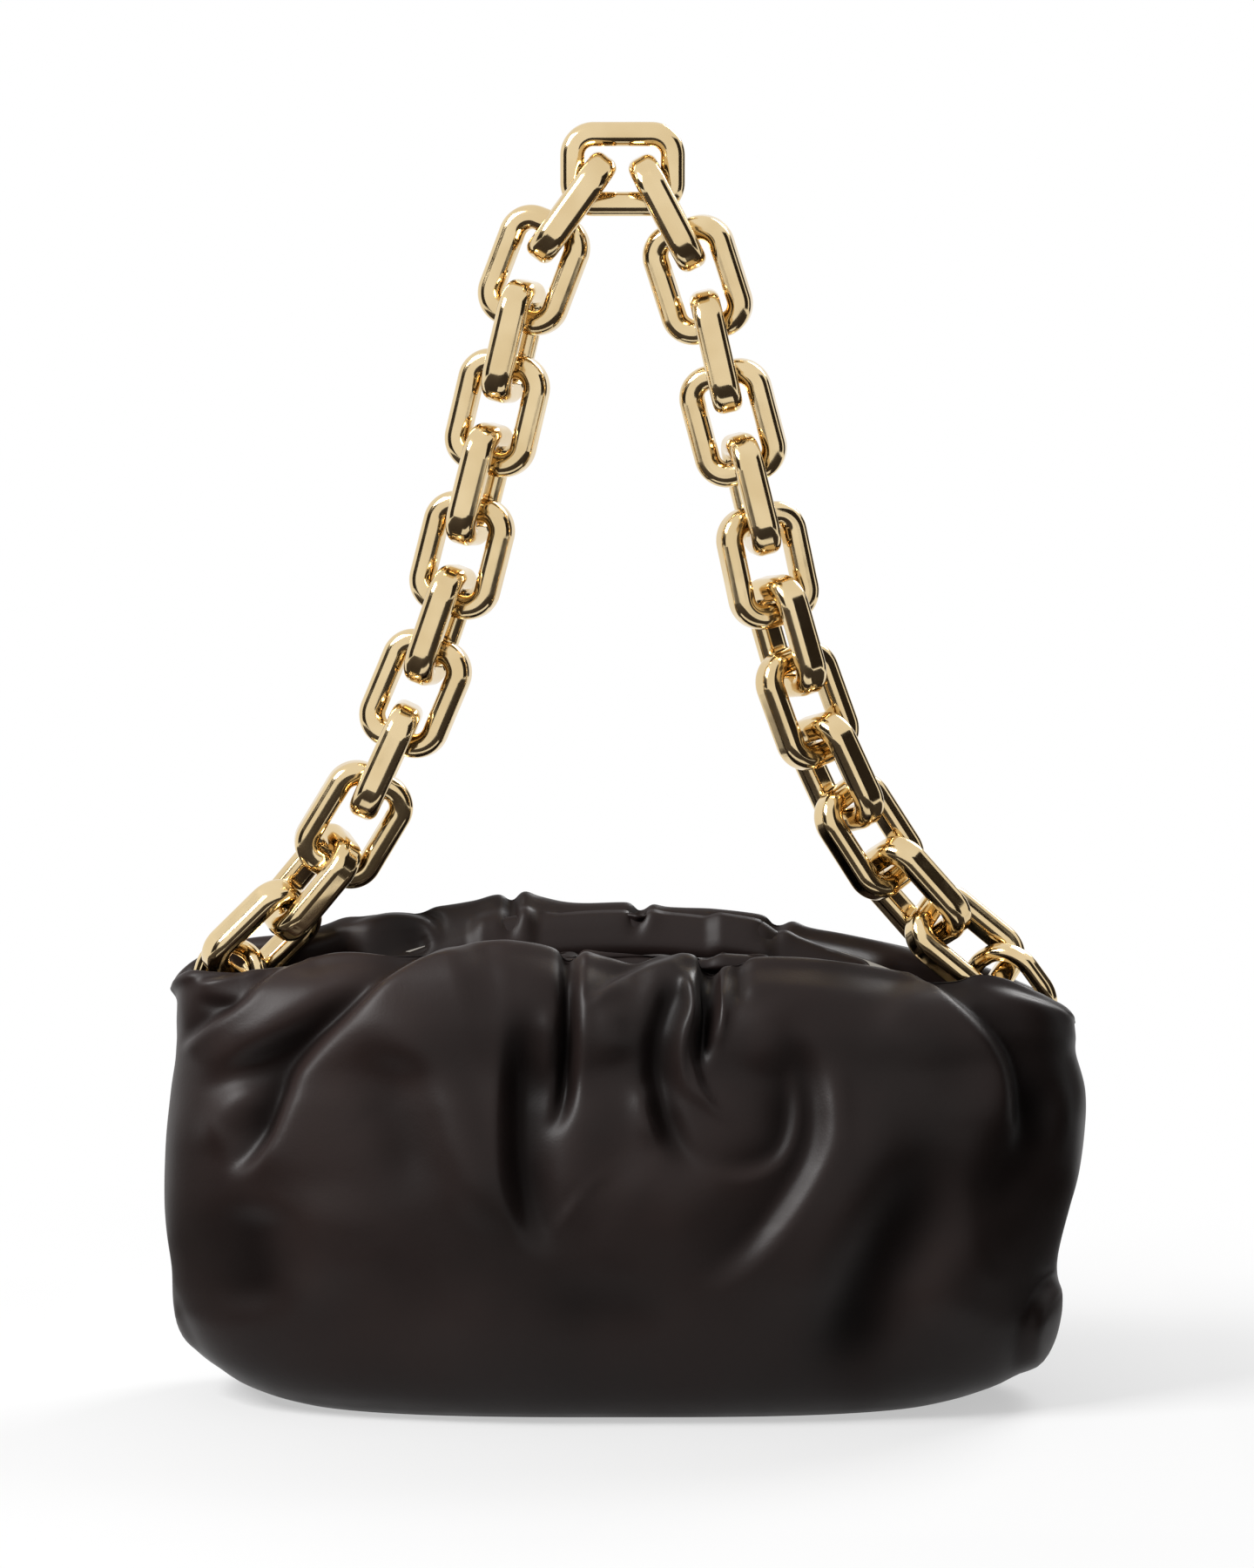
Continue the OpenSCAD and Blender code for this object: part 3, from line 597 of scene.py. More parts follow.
# Folds of the front, where the photograph shows them
frontFolds = [
    # Long ridge from the lip to the left, with a hook at its end
    ledge((-4.6, 11), (4.6, 22), 3.0, [(560, 1080), (500, 1094), (455, 1117), (420, 1145), (386, 1174),
          (356, 1206), (335, 1240), (322, 1275), (311, 1303), (299, 1325), (282, 1341), (252, 1352)],
          start=0.12, end=0.16),
    # Its valley, and the ridge and edge above it
    ridge(-3.4, 6, [(440, 1118), (405, 1152), (370, 1184), (330, 1208), (290, 1228), (258, 1248),
          (238, 1270)]),
    ridge(2.6, 7, [(470, 1098), (410, 1120), (350, 1156), (300, 1190), (255, 1222), (232, 1250)],
          start=0.25, end=0.2),
    ledge((-2.8, 6), (2.2, 9), 1.5, [(365, 1096), (325, 1114), (300, 1130), (278, 1150), (240, 1175),
          (205, 1205)], start=0.15, end=0.12),
    ridge(-2.6, 4.2, [(340, 1225), (318, 1262), (302, 1295), (285, 1318)]),
    ridge(1.8, 5, [(305, 1240), (272, 1262), (250, 1296), (238, 1330)]),
    # Rolled leather at the left end
    ledge((-1.4, 4), (1.8, 5), 1.2, [(345, 1100), (300, 1110), (262, 1120), (220, 1128)], start=0.2,
          end=0.15),
    ridge(1.2, 2, [(284, 1095), (290, 1118), (290, 1150)], start=0.25, end=0.4),
    ridge(-1.6, 2.6, [(222, 1150), (250, 1152), (274, 1150)]),
    # Broad shoulder from the long ridge to the hollow in the middle
    ridge(3.4, 8.5, [(385, 1190), (440, 1184), (492, 1215), (518, 1265), (534, 1325), (556, 1382),
          (590, 1430)], end=0.25),
    ridge(-2.2, 9, [(395, 1240), (440, 1262), (462, 1320), (470, 1390)], start=0.35, end=0.4),
    # Hollow in the middle: its steep left wall, then its bottom and its bright right wall
    ledge((1.2, 14), (-7.0, 13), 5.6, [(598, 1135), (590, 1190), (586, 1250), (586, 1315), (592, 1368),
          (604, 1408), (624, 1432), (664, 1442)], start=0.36, end=0.4),
    ledge((-3.6, 14), (1.8, 14), 5.2, [(905, 1165), (930, 1208), (941, 1250), (944, 1292), (937, 1327),
          (921, 1360), (900, 1392), (874, 1426), (848, 1451), (818, 1472), (780, 1482)], end=0.35),
    ridge(0.6, 4.0, [(955, 1200), (964, 1255), (964, 1315), (950, 1360)], end=0.35),
    # Deep pleat, and the panel to its right
    ridge(-5.4, 2.6, [(657, 1080), (656, 1150), (655, 1200), (650, 1248), (640, 1284), (620, 1304)],
          start=0),
    ledge((-1.2, 8), (2.8, 7), 1.6, [(657, 1080), (656, 1150), (655, 1200), (650, 1248), (640, 1284)],
          start=0, end=0.35),
    ledge((-1.4, 5), (1.6, 6), 1.2, [(786, 1095), (742, 1109), (702, 1130), (668, 1156)], start=0.15,
          end=0.2),
    ridge(1.5, 3.4, [(632, 1150), (628, 1200), (624, 1250)], end=0.4),
    ridge(2.2, 10, [(700, 1245), (660, 1300), (652, 1370), (690, 1410)], end=0.4),
    # Dark fold beside the double crease, turning under into the hollow
    ridge(-4.2, 4.4, [(782, 1112), (768, 1150), (757, 1190), (756, 1240), (766, 1285), (788, 1325),
          (830, 1350)], start=0.15, end=0.35),
    ridge(2.0, 4.5, [(745, 1235), (742, 1280), (756, 1322)], start=0.35, end=0.4),
    # Double crease
    ridge(3.2, 2.0, [(788, 1112), (795, 1150), (786, 1182), (782, 1212), (787, 1242), (802, 1262),
          (826, 1268)], start=0.12, end=0.35),
    ridge(2.4, 1.8, [(803, 1135), (799, 1175), (795, 1215), (802, 1248), (822, 1275), (850, 1290)],
          start=0.2, end=0.4),
    ridge(-5.6, 2.5, [(815, 1092), (813, 1150), (807, 1195), (802, 1232)], start=0),
    # Short crease to its right, pinched at the lip
    ridge(2.6, 2.2, [(829, 1090), (831, 1140), (828, 1178), (820, 1206)], start=0.4, end=0.35),
    ridge(-3.0, 3.2, [(846, 1094), (846, 1130), (850, 1160)], start=0, end=0.45),
    # Smaller hollow inside the first
    ledge((-2.2, 8), (1.2, 6), 2.6, [(903, 1215), (910, 1262), (907, 1300), (893, 1328), (866, 1343),
          (832, 1344), (800, 1332)], end=0.4),
    ridge(1.6, 12, [(700, 1330), (760, 1370), (840, 1400)], start=0.35, end=0.4),
    # Right edge of the front, which falls away to the end of the bag
    ledge((2.6, 14), (-4.6, 12), 2.0, [(1036, 1108), (1062, 1124), (1090, 1142), (1116, 1164),
          (1140, 1190), (1156, 1218), (1165, 1252), (1167, 1292), (1160, 1325)], start=0.12, end=0.25),
    ridge(1.4, 2, [(1070, 1118), (1100, 1134), (1130, 1158)], end=0.4),
    ridge(-3.2, 10, [(1192, 1215), (1190, 1290), (1162, 1350), (1110, 1398)]),
    ridge(1.6, 5.5, [(1226, 1235), (1226, 1310), (1216, 1400)], end=0.35),
    # Long valley down to the base
    ridge(-6.0, 12.5, [(1118, 1280), (1084, 1318), (1058, 1370), (1030, 1420), (1002, 1472),
          (984, 1530), (966, 1582), (955, 1612)], start=0.5),
    ridge(2.4, 13, [(1015, 1240), (1005, 1310), (975, 1390), (935, 1470), (905, 1550)]),
    ridge(2.4, 13, [(1160, 1420), (1110, 1470), (1075, 1540)], start=0.35, end=0.35),
    # Corners at the bottom
    ledge((-1.6, 6), (2.6, 7), 1.2, [(1222, 1462), (1205, 1482), (1190, 1504), (1181, 1532),
          (1178, 1560), (1180, 1590)], start=0.12, end=0.2),
    ledge((1.6, 4), (-1.8, 6), 1.4, [(188, 1470), (200, 1510), (216, 1545), (240, 1582), (280, 1606)],
          start=0.2, end=0.25),
    # Soft swells and dips of the empty lower front
    ridge(-3.2, 13, [(292, 1372), (288, 1440), (292, 1520)], end=0.35),
    ridge(2.2, 15, [(375, 1350), (372, 1430), (400, 1510)], start=0.35, end=0.4),
    ridge(1.4, 4.5, [(212, 1245), (205, 1330), (208, 1420), (216, 1480)]),
    ridge(-1.8, 9, [(600, 1490), (700, 1500), (800, 1512)], start=0.4, end=0.4),
    ridge(1.4, 14, [(470, 1480), (560, 1540), (680, 1575)], start=0.4, end=0.4),
    ridge(1.4, 11, [(1020, 1125), (1060, 1200), (1070, 1270)], end=0.4),
    ridge(1.6, 6, [(700, 1150), (702, 1190), (712, 1225)], end=0.4),
    ridge(1.4, 8, [(870, 1140), (880, 1190), (872, 1245)], end=0.4),
]

# Folds of the back lip that the photograph shows
backLipFolds = [
    ridge(-3.4, 2.2, [(588, 1010), (587, 1045), (585, 1085), (582, 1115)], start=0),
    ridge(0.9, 3, [(603, 1015), (602, 1050), (600, 1085)], start=0),
    ridge(-3.4, 2.2, [(740, 1020), (732, 1055), (724, 1090), (720, 1118)], start=0),
    ridge(0.9, 3, [(752, 1030), (745, 1060), (738, 1090)], start=0),
    ridge(-3.4, 2.4, [(898, 1050), (882, 1070), (868, 1092), (856, 1112)], start=0),
    ridge(0.9, 3, [(912, 1058), (898, 1078), (888, 1098)], start=0),
    ridge(3.0, 2.0, [(508, 1082), (488, 1062), (455, 1056), (425, 1062), (405, 1078)], start=0.15,
          end=0.25),
    ridge(-3.2, 1.8, [(512, 1070), (490, 1048), (452, 1042), (415, 1048), (390, 1062)], start=0.15,
          end=0.25),
    ridge(-3.4, 2.6, [(492, 1094), (470, 1077), (446, 1075), (432, 1092)], start=0.2),
]

# Folds of the back, seen from behind: the same kinds in other places
backFolds = [
    ledge((-3.0, 14), (2.6, 22), 2.4, [(880, 1080), (930, 1110), (975, 1160), (1005, 1220),
          (1020, 1290)], start=0.1, end=0.35),
    ledge((-2.6, 9), (2.0, 14), 1.3, [(760, 1086), (758, 1130), (766, 1190), (780, 1240)], start=0,
          end=0.4),
    ledge((2.2, 17), (-2.2, 15), 4, [(700, 1180), (690, 1250), (705, 1330), (740, 1400), (800, 1445)],
          end=0.35),
    ledge((2.0, 6), (-2.2, 5), 1.2, [(640, 1088), (632, 1130), (640, 1180)], start=0, end=0.4),
    ledge((2.6, 20), (-2.4, 14), 2.6, [(520, 1090), (500, 1140), (450, 1200), (410, 1270), (395, 1350)],
          start=0.1, end=0.35),
    ridge(-2.6, 12, [(560, 1200), (540, 1290), (560, 1380)], end=0.4),
    ridge(-2.4, 13, [(960, 1360), (900, 1440), (870, 1540)]),
    ledge((2.0, 12), (-2.0, 9), 1.6, [(330, 1110), (280, 1150), (215, 1195)], start=0.2, end=0.2),
    ledge((2.0, 14), (-2.0, 12), 1.8, [(1080, 1120), (1130, 1170), (1170, 1240), (1180, 1310)],
          start=0.15, end=0.4),
    ridge(1.4, 15, [(430, 1420), (500, 1500), (600, 1550)], start=0.4, end=0.4),
    ledge((1.6, 8), (-2.0, 5), 1.2, [(1215, 1475), (1190, 1520), (1182, 1585)], start=0.1, end=0.25),
]

# How far folds may go in or out, and where they fade: at their own ends, by the side edges of a
# half, by the base and, counted in rails of the pouch from the lip, on the lip and inside it
foldLimits = {
    "endFade": 0.3,
    "deepest": 8.0,
    "lipLess": 4.8,
    "insideLess": 0.8,
    "sideFade": 0.05,
    "lipFrom": -3,
    "lipFade": 2,
    "backLipFrom": -2.2,
    "backLipFade": 1.6,
    "edgeFade": 1.2,
    "insideFrom": 2.2,
    "insideFade": 2.0,
    "baseFade": 1.5,
}

# The mouth frame's rails as the CAD model has them
mouthFrame = {
    "reach": 92,
    "rise": 26,
    "foot": 7,
    "front": 54,  # lean of each rail in degrees
    "back": 25,
    "magnetReach": 40,
    "magnetRadius": 6,
    "magnetEase": 7,
    "magnetFade": 6.5,
    "slimFrom": 46,
    "slimOver": 30,
    "slimming": 0.35,
}


def railMiddle(x):
    # Height of a rail's middle line above the hinges
    bow = mouthFrame["rise"] - mouthFrame["foot"]
    radius = (mouthFrame["reach"] ** 2 + bow ** 2) / (2 * bow)
    inside = np.minimum(np.abs(x), mouthFrame["reach"])
    return mouthFrame["rise"] - radius + np.sqrt(radius ** 2 - inside ** 2)


def magnetShare(x):
    # 1 over a magnet and 0 between them
    away = np.abs(np.abs(x) - mouthFrame["magnetReach"])
    edge = mouthFrame["magnetRadius"] + mouthFrame["magnetEase"]
    return smoothStep((edge - away) / mouthFrame["magnetFade"])


def slimness(x):
    # 1 over the middle of a rail, and less where it nears its hinges and the other rail
    near = smoothStep((np.abs(x) - mouthFrame["slimFrom"]) / mouthFrame["slimOver"])
    return 1 - mouthFrame["slimming"] * near


def railPoint(side, x, height, offset):
    # A point beside a rail: height above the hinges along the rail, offset towards the mouth
    out = outward[side]
    lean = math.radians(mouthFrame[side])
    y = out * (height * math.sin(lean) - offset * math.cos(lean))
    z = hingeHeight + height * math.cos(lean) + offset * math.sin(lean)
    return np.stack([x, y + 0 * x, z + 0 * x], axis=-1)


def lipShare(angles, fine):
    # How far along the lip each column ends: straight above the wall in the middle, and evenly at
    # the ends
    ring = ringPoints(pouch["belly"], angles, 1)
    even = np.concatenate([[0], np.cumsum(np.linalg.norm(np.diff(ring[:, :2], axis=0), axis=1))])
    even = even / even[-1]
    wanted = np.clip(ring[:, 0] * lipEdge["straightShare"], fine[0, 0], fine[-1, 0])
    order = np.maximum.accumulate(fine[:, 0])
    order = order + np.linspace(0, 1e-3, len(order))
    above = np.interp(wanted, order, np.linspace(0, 1, len(order)))
    weight = smoothStep((lipEdge["straightReach"] - np.abs(ring[:, 0])) / lipEdge["straightFade"])
    share = above * weight + even * (1 - weight)
    share = np.maximum.accumulate(share)
    return (share - share[0]) / (share[-1] - share[0])


def lipLine(side, angles):
    # The lip's edge, with a point for each column
    table = np.array(lips[side], float)
    table[:, 1] *= outward[side]
    table[:, 2] *= view["pixel"]
    fine = throughPoints(table, 3000)
    share = lipShare(angles, fine)
    lip = np.stack([np.interp(share, np.linspace(0, 1, len(fine)), fine[:, i]) for i in range(3)], axis=1)
    lip[:, 2] = heightOfPixel(lip[:, 1], lip[:, 2] / view["pixel"])
    return lip


def insideRails(side, lip, inward, roll, angles):
    # Down inside: sewn to the rail's sleeve in the middle, loose at the ends, then to the lining
    rails = []
    x = lip[:, 0] * lipEdge["sewnShare"]
    loosen = smoothStep((np.abs(x) - lipEdge["sewnReach"]) / lipEdge["looseOver"])[:, None]
    lift, cover = [size * magnetShare(x) for size in lipEdge["overMagnet"]]
    slim = slimness(x)
    for height, offset, drop, turn in lipEdge["inside"]:
        sewn = railPoint(side, x, railMiddle(x) + height * slim + lift, offset * slim + cover)
        loose = lip + inward * roll * turn - upward * (roll * lipEdge["looseDrop"] + drop)
        rails.append(sewn * (1 - loosen) + loose * loosen)
    for below, inset in lipEdge["down"]:
        ring = ringPoints(rimLevel - below, angles, outward[side])
        size = np.linalg.norm(ring[:, :2], axis=1, keepdims=True)
        ring[:, :2] *= (size - inset) / size
        rails.append(ring)
    return rails


def pouchHalf(side, columns):
    # One half of the pouch: from the base seam up over the belly, round the lip and down inside
    out = outward[side]
    angles = columnAngles(columns)
    across = np.linspace(-1, 1, columns)
    lip = lipLine(side, angles)
    tangent = unitRows(np.gradient(lip[:, :2], axis=0))
    inward = -out * np.stack([-tangent[:, 1], tangent[:, 0], 0 * tangent[:, 0]], axis=1)
    middle = smoothStep((1 - np.abs(across)) / lipEdge["middleFade"])[:, None]
    roll = lipEdge["roll"] + lipEdge["middleRoll"] * middle
    rails = [ringPoints(h * rimLevel / pouch["levelsTop"], angles, out) for h in pouch["rowLevels"]]
    rim = ringPoints(rimLevel - lipEdge["rimBelow"], angles, out)
    rails.append(rim)
    rise = lip[:, 2:3] - roll * lipEdge["rollDrop"] - rim[:, 2:3]
    for lift, over in lipEdge["outside"]:
        over = over * (lipEdge["endsOver"] + (1 - lipEdge["endsOver"]) * middle)
        point = rim * (1 - over) + lip * over
        point[:, 2:3] = rim[:, 2:3] + rise * lift
        rails.append(point)
    lipRow = len(rails) + 1
    for inwards, upwards in lipEdge["section"]:
        rails.append(lip + inward * roll * inwards + upward * roll * upwards)
    rails += insideRails(side, lip, inward, roll, angles)
    points, rows = blendRows(rails, lipEdge["spacing"])
    return points, rows, lipRow, across


def softened(height):
    # The leather's own stiffness rounds the smallest folds
    for _ in range(2):
        padded = np.pad(height, 1, mode="edge")
        height = (padded[:-2, 1:-1] + 2 * height + padded[2:, 1:-1]) / 4
        padded = np.pad(height, 1, mode="edge")
        height = (padded[1:-1, :-2] + 2 * height + padded[1:-1, 2:]) / 4
    return height


def looseness(points):
    # Slight unevenness of leather that nothing stretches: a few waves of different lengths
    x, y, z = points[..., 0], points[..., 1], points[..., 2]
    wave = np.sin(x / 17 + 1.3 + z / 41) * np.sin(z / 23 + 0.4 + x / 67) * 0.35
    wave += np.sin(x / 9.5 + z / 31 + 2.1) * np.sin(z / 13 - x / 47) * 0.16
    wave += np.sin(x / 39 - z / 29 + 0.7) * 0.4
    return wave


def sheetArea(skin, closed=False):
    # Area of a grid of points in square metres
    beside = np.roll(skin, -1, axis=1) if closed else skin[:, 1:]
    skin = skin if closed else skin[:, :-1]
    step = np.cross(skin[1:] - skin[:-1], beside[:-1] - skin[:-1])
    return round(float(np.linalg.norm(step, axis=2).sum()) * mm * mm, 4)


def halfHeights(side, folds, points, rows, lipRow, across):
    # How far the leather stands out from the smooth form
    px, py = photoPixel(points)
    if side == "front":
        height = foldHeights(px, py, folds)
    else:
        behind, level = photoPixel(points * [-1, -1, 1])
        past = rows - lipRow - foldLimits["backLipFrom"]
        lipPart = smoothStep(past / foldLimits["backLipFade"])[:, None]
        height = foldHeights(behind, level, folds) * (1 - lipPart)
        height = height + foldHeights(px, py, backLipFolds) * lipPart
    ends = smoothStep((1 - np.abs(across)) / foldLimits["sideFade"])[None, :]
    past = rows - lipRow - foldLimits["insideFrom"]
    inside = 1 - smoothStep(past / foldLimits["insideFade"])[:, None]
    bottom = smoothStep(rows / foldLimits["baseFade"])[:, None]
    height = (softened(height) + looseness(points)) * ends * inside * bottom
    # Creases pull in no further than what lies behind them lets them, and least at the lip
    most = foldLimits["deepest"]
    onLip = smoothStep((rows - lipRow - foldLimits["lipFrom"]) / foldLimits["lipFade"])[:, None]
    pastLip = smoothStep((rows - lipRow) / foldLimits["edgeFade"])[:, None]
    deepest = most - foldLimits["lipLess"] * onLip - foldLimits["insideLess"] * pastLip
    return np.where(height < 0, -deepest * np.tanh(-height / deepest), most * np.tanh(height / most))


def halfPiece(name, side, folds):
    columns = pouch["columns"]
    points, rows, lipRow, across = pouchHalf(side, columns)
    height = halfHeights(side, folds, points, rows, lipRow, across)
    normals = gridNormals(points)
    if normals[len(rows) // 3, columns // 2, 1] * outward[side] < 0:
        normals = -normals
    outer = points + normals * height[..., None]
    inner = outer - normals * pouch["thick"]
    count = len(rows) * columns
    flip = np.cross(outer[5, 6] - outer[5, 5], outer[6, 5] - outer[5, 5]) @ normals[5, 5] < 0
    faces = gridFaces(len(rows), columns, 0, flip) + gridFaces(len(rows), columns, count, not flip)
    border = [(0, c) for c in range(columns)]
    border += [(r, columns - 1) for r in range(1, len(rows))]
    border += [(len(rows) - 1, c) for c in range(columns - 2, -1, -1)]
    border += [(r, 0) for r in range(len(rows) - 2, 0, -1)]
    border = [r * columns + c for r, c in border]
    for a, b in zip(border, border[1:] + border[:1]):
        face = (a, a + count, b + count, b)
        faces.append(face[::-1] if flip else face)
    points = np.concatenate([outer.reshape(-1, 3), inner.reshape(-1, 3)])
    piece = makePiece(name, points, faces, leather)
    layer = piece.data.attributes.new("foldHeight", "FLOAT", "POINT")
    layer.data.foreach_set("value", np.tile(height.reshape(-1), 2))
    area = sheetArea(outer)
    print(name, len(rows), "rows", len(faces), "faces, leather", area, "square m")
    return piece, area


front, frontArea = halfPiece("pouchFront", "front", frontFolds)
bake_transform(front)
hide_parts("leather_body", "front_gather")
back, backArea = halfPiece("pouchBack", "back", backFolds)
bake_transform(back)
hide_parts("back_gather")

# The leather sleeves that cover the rails and their magnets
sleeve = {
    "reach": 86,
    "stations": 90,
    "around": 28,
    "tall": 5.4,
    "thick": 2.5,
    "wall": 0.9,
    "magnetTall": 2.0,
    "magnetThick": 1.0,
    "endTaper": 6,
    "endTall": 0.55,
    "endThick": 0.7,
    "square": 0.5,  # less is squarer
    "offset": 0.2,
    "pucker": 0.2,
}


def sleevePiece(name, side, body):
    stations, around = sleeve["stations"], sleeve["around"]
    angles = np.linspace(0, 2 * math.pi, around, endpoint=False)
    skins = []
    for shrink in (0, sleeve["wall"]):
        rows = []
        for place in np.linspace(-sleeve["reach"], sleeve["reach"], stations):
            at = np.array([place])
            end = smoothStep((sleeve["reach"] - abs(place)) / sleeve["endTaper"])
            over = float(magnetShare(at)[0])
            slim = float(slimness(at)[0])
            tall = sleeve["tall"] * slim + sleeve["magnetTall"] * over - shrink * slim
            tall *= sleeve["endTall"] + (1 - sleeve["endTall"]) * end
            thick = sleeve["thick"] * slim + sleeve["magnetThick"] * over - shrink * slim
            thick *= sleeve["endThick"] + (1 - sleeve["endThick"]) * end
            along, across = [np.sign(turn) * np.abs(turn) ** sleeve["square"]
                             for turn in (np.sin(angles), np.cos(angles))]
            pucker = 0 if shrink else sleeve["pucker"] * np.sin(place / 3.1 + 2 * np.sin(place / 13))
            offset = sleeve["offset"] + sleeve["magnetThick"] * over + across * thick
            offset = offset + pucker * np.cos(angles)
            height = railMiddle(at)[0] + along * tall
            rows.append(railPoint(side, np.full(around, place), height, offset))
        skins.append(np.array(rows))
    points = np.concatenate([skin.reshape(-1, 3) for skin in skins])
    count = stations * around
    faces = tubFaces(stations, around, 0, True) + tubFaces(stations, around, count)
    for i, flip in ((0, False), (stations - 1, True)):
        for j in range(around):
            a, b = i * around + j, i * around + (j + 1) % around
            face = (b, a, count + a, count + b)
            faces.append(face[::-1] if flip else face)
    piece = makePiece(name, points, faces, facing)
    fixNormals(piece)
    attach(piece, body)


sleevePiece("frontSleeve", "front", "front_lip")
sleevePiece("backSleeve", "back", "back_lip")
print("pouch")

# Lining: a loose tub of twill inside the leather, which gives way to the deep folds
liner = {
    "columns": 200,
    "inset": 8.5,
    "thick": 0.8,
    "flat": (0.7, 0.145),
    "belowRim": 11,
    "drops": (0, 8, 18, 29, 40, 51),
    "levels": (46, 34, 24, 16, 9.5),
    "floor": 9,
    "foot": 4,  # how much further in its lowest row stands
    "floorShare": 0.5,  # size of the floor's inner ring
    # Ripples: height, how many go round, and how far each row turns them
    "ripples": ((0.8, 17, 1), (0.6, 29, 2)),
    "clearDepth": 2.5,
    "mostGiven": 6,
}


def liningPiece():
    n = liner["columns"]
    angles = np.linspace(0, 2 * math.pi, n, endpoint=False)
    top = rimLevel - liner["belowRim"]
    levels = [top - drop for drop in liner["drops"]] + list(liner["levels"])
    rings = []
    for i, level in enumerate(levels):
        wall, length = wholeRing(level, n)
        given = np.zeros(n)
        for front, folds in ((True, frontFolds), (False, backFolds)):
            px, py = photoPixel(wall * ([1, 1, 1] if front else [-1, -1, 1]))
            fold = np.minimum(foldHeights(px, py, folds), 0)
            deep = np.maximum(-fold - liner["clearDepth"], 0)
            given = np.where((wall[:, 1] < 0) == front, deep, given)
        wave = sum(rise * np.sin(angles * many + turn * i) for rise, many, turn in liner["ripples"])
        inset = liner["inset"] + (wave + np.minimum(given, liner["mostGiven"]))[:, None]
        if i == len(levels) - 1:
            inset = inset + liner["foot"]
        wall[:, :2] *= (length - inset) / length
        rings.append(wall)
    bottom = rings[-1].copy()
    bottom[:, :2] *= liner["floorShare"]
    bottom[:, 2] = baseHeight + liner["floor"]
    rings.append(bottom)
    outer = np.array(rings)
    inner = outer.copy()
    length = np.linalg.norm(outer[..., :2], axis=2, keepdims=True)
    inner[..., :2] *= (length - liner["thick"]) / length
    inner[-2:, :, 2] += liner["thick"]
    rows = len(rings)
    points = list(outer.reshape(-1, 3)) + list(inner.reshape(-1, 3))
    middle = baseHeight + liner["floor"]
    points += [[0, 0, middle], [0, 0, middle + liner["thick"]]]
    faces = tubFaces(rows, n) + tubFaces(rows, n, rows * n, True)
    last = (rows - 1) * n
    for c in range(n):
        d = (c + 1) % n
        faces.append((c, d, rows * n + d, rows * n + c))
        faces.append((last + c, 2 * rows * n, last + d))
        faces.append((rows * n + last + c, rows * n + last + d, 2 * rows * n + 1))
    piece = makePiece("liningTub", points, faces, lining)
    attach(piece, "bag")
    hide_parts("lining")


liningPiece()
print("lining")

# Base panel: cut from the same leather and tucked inside the pouch's lower edge. Its profile, from
# the middle of the underside to the middle of the top, is distance inside the outline and height
basePanel = {
    "columns": 200,
    "outline": 0.6,
    "profile": ((60, 0), (30, 0), (3.0, 0), (1.6, 0.2), (0.9, 0.7),
                (0.8, 1.6), (1.3, 2.2), (4, 2.4), (60, 2.4)),
    "middle": 0.12,
}


def basePiece():
    n = basePanel["columns"]
    outline, length = wholeRing(basePanel["outline"], n)
    rings = []
    for inset, height in basePanel["profile"]:
        ring = outline.copy()
        ring[:, :2] *= np.maximum(length - inset, length * basePanel["middle"]) / length
        ring[:, 2] = baseHeight + height
        rings.append(ring)
    rows = len(rings)
    top = baseHeight + basePanel["profile"][-1][1]
    points = np.concatenate([np.array(rings).reshape(-1, 3), [[0, 0, baseHeight], [0, 0, top]]])
    faces = tubFaces(rows, n)
    for c in range(n):
        d = (c + 1) % n
        faces.append((c, d, rows * n))
        faces.append(((rows - 1) * n + c, rows * n + 1, (rows - 1) * n + d))
    piece = makePiece("baseLeather", points, faces, leather)
    fixNormals(piece)
    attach(piece, "bag")
    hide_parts("base_panel")


basePiece()
print("base")

# Metal parts and the board keep their CAD shapes: a word in a node's name gives its material
nodeMaterials = {
    "link": gold,
    "ring": gold,
    "bracket": frameSteel,
    "pin": frameSteel,
    "rail": frameSteel,
    "magnet": magnetSteel,
    "base_board": board,
}
for name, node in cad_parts.items():
    for word, material in nodeMaterials.items():
        if word in name:
            node.data.materials.clear()
            node.data.materials.append(material)
            break
print("metal")


# Stage, in metres: a pale floor that turns into the white background, plain soft lights, and dark
# cards that only the polished metal and the leather's sheen reflect
floor = {
    "size": 30,
    "gap": 0.0004,
    "seen": "#dedede",
    "bounced": "#5a5a5a",
    "roughness": 0.9,
    "fadeFrom": 0.1,
    "fadeTo": 0.45,
    "leastWhite": 0.5,
}
room = {"below": 0.04, "above": 0.32}
lights = {
    "keyLight": ((-0.95, -0.56, 0.64), (0, 0, -0.32), (0.6, 0.6), 25),
    "backLight": ((0.7, 0.9, 0.7), (0, 0, -0.3), (0.6, 0.6), 14),
}
# Each card: centre, the point it faces, and size
cards = {
    "cardLeft": ((-1.2, -0.55, -0.1), (0, 0, -0.2), (0.95, 1.9)),
    "cardRight": ((1.2, -0.55, -0.1), (0, 0, -0.2), (1.05, 1.9)),
    "cardBehind": ((1.15, 0.75, -0.2), (0, 0, -0.25), (0.9, 1.2)),
    "cardLow": ((0, -0.75, -0.39), (0, -0.75, 1), (1.7, 1.1)),
    "cardLowLeft": ((-0.5, -0.05, -0.39), (-0.5, -0.05, 1), (0.6, 0.5)),
    "cardLowRight": ((0.5, -0.05, -0.39), (0.5, -0.05, 1), (0.6, 0.5)),
}
cardColour = "#201812"


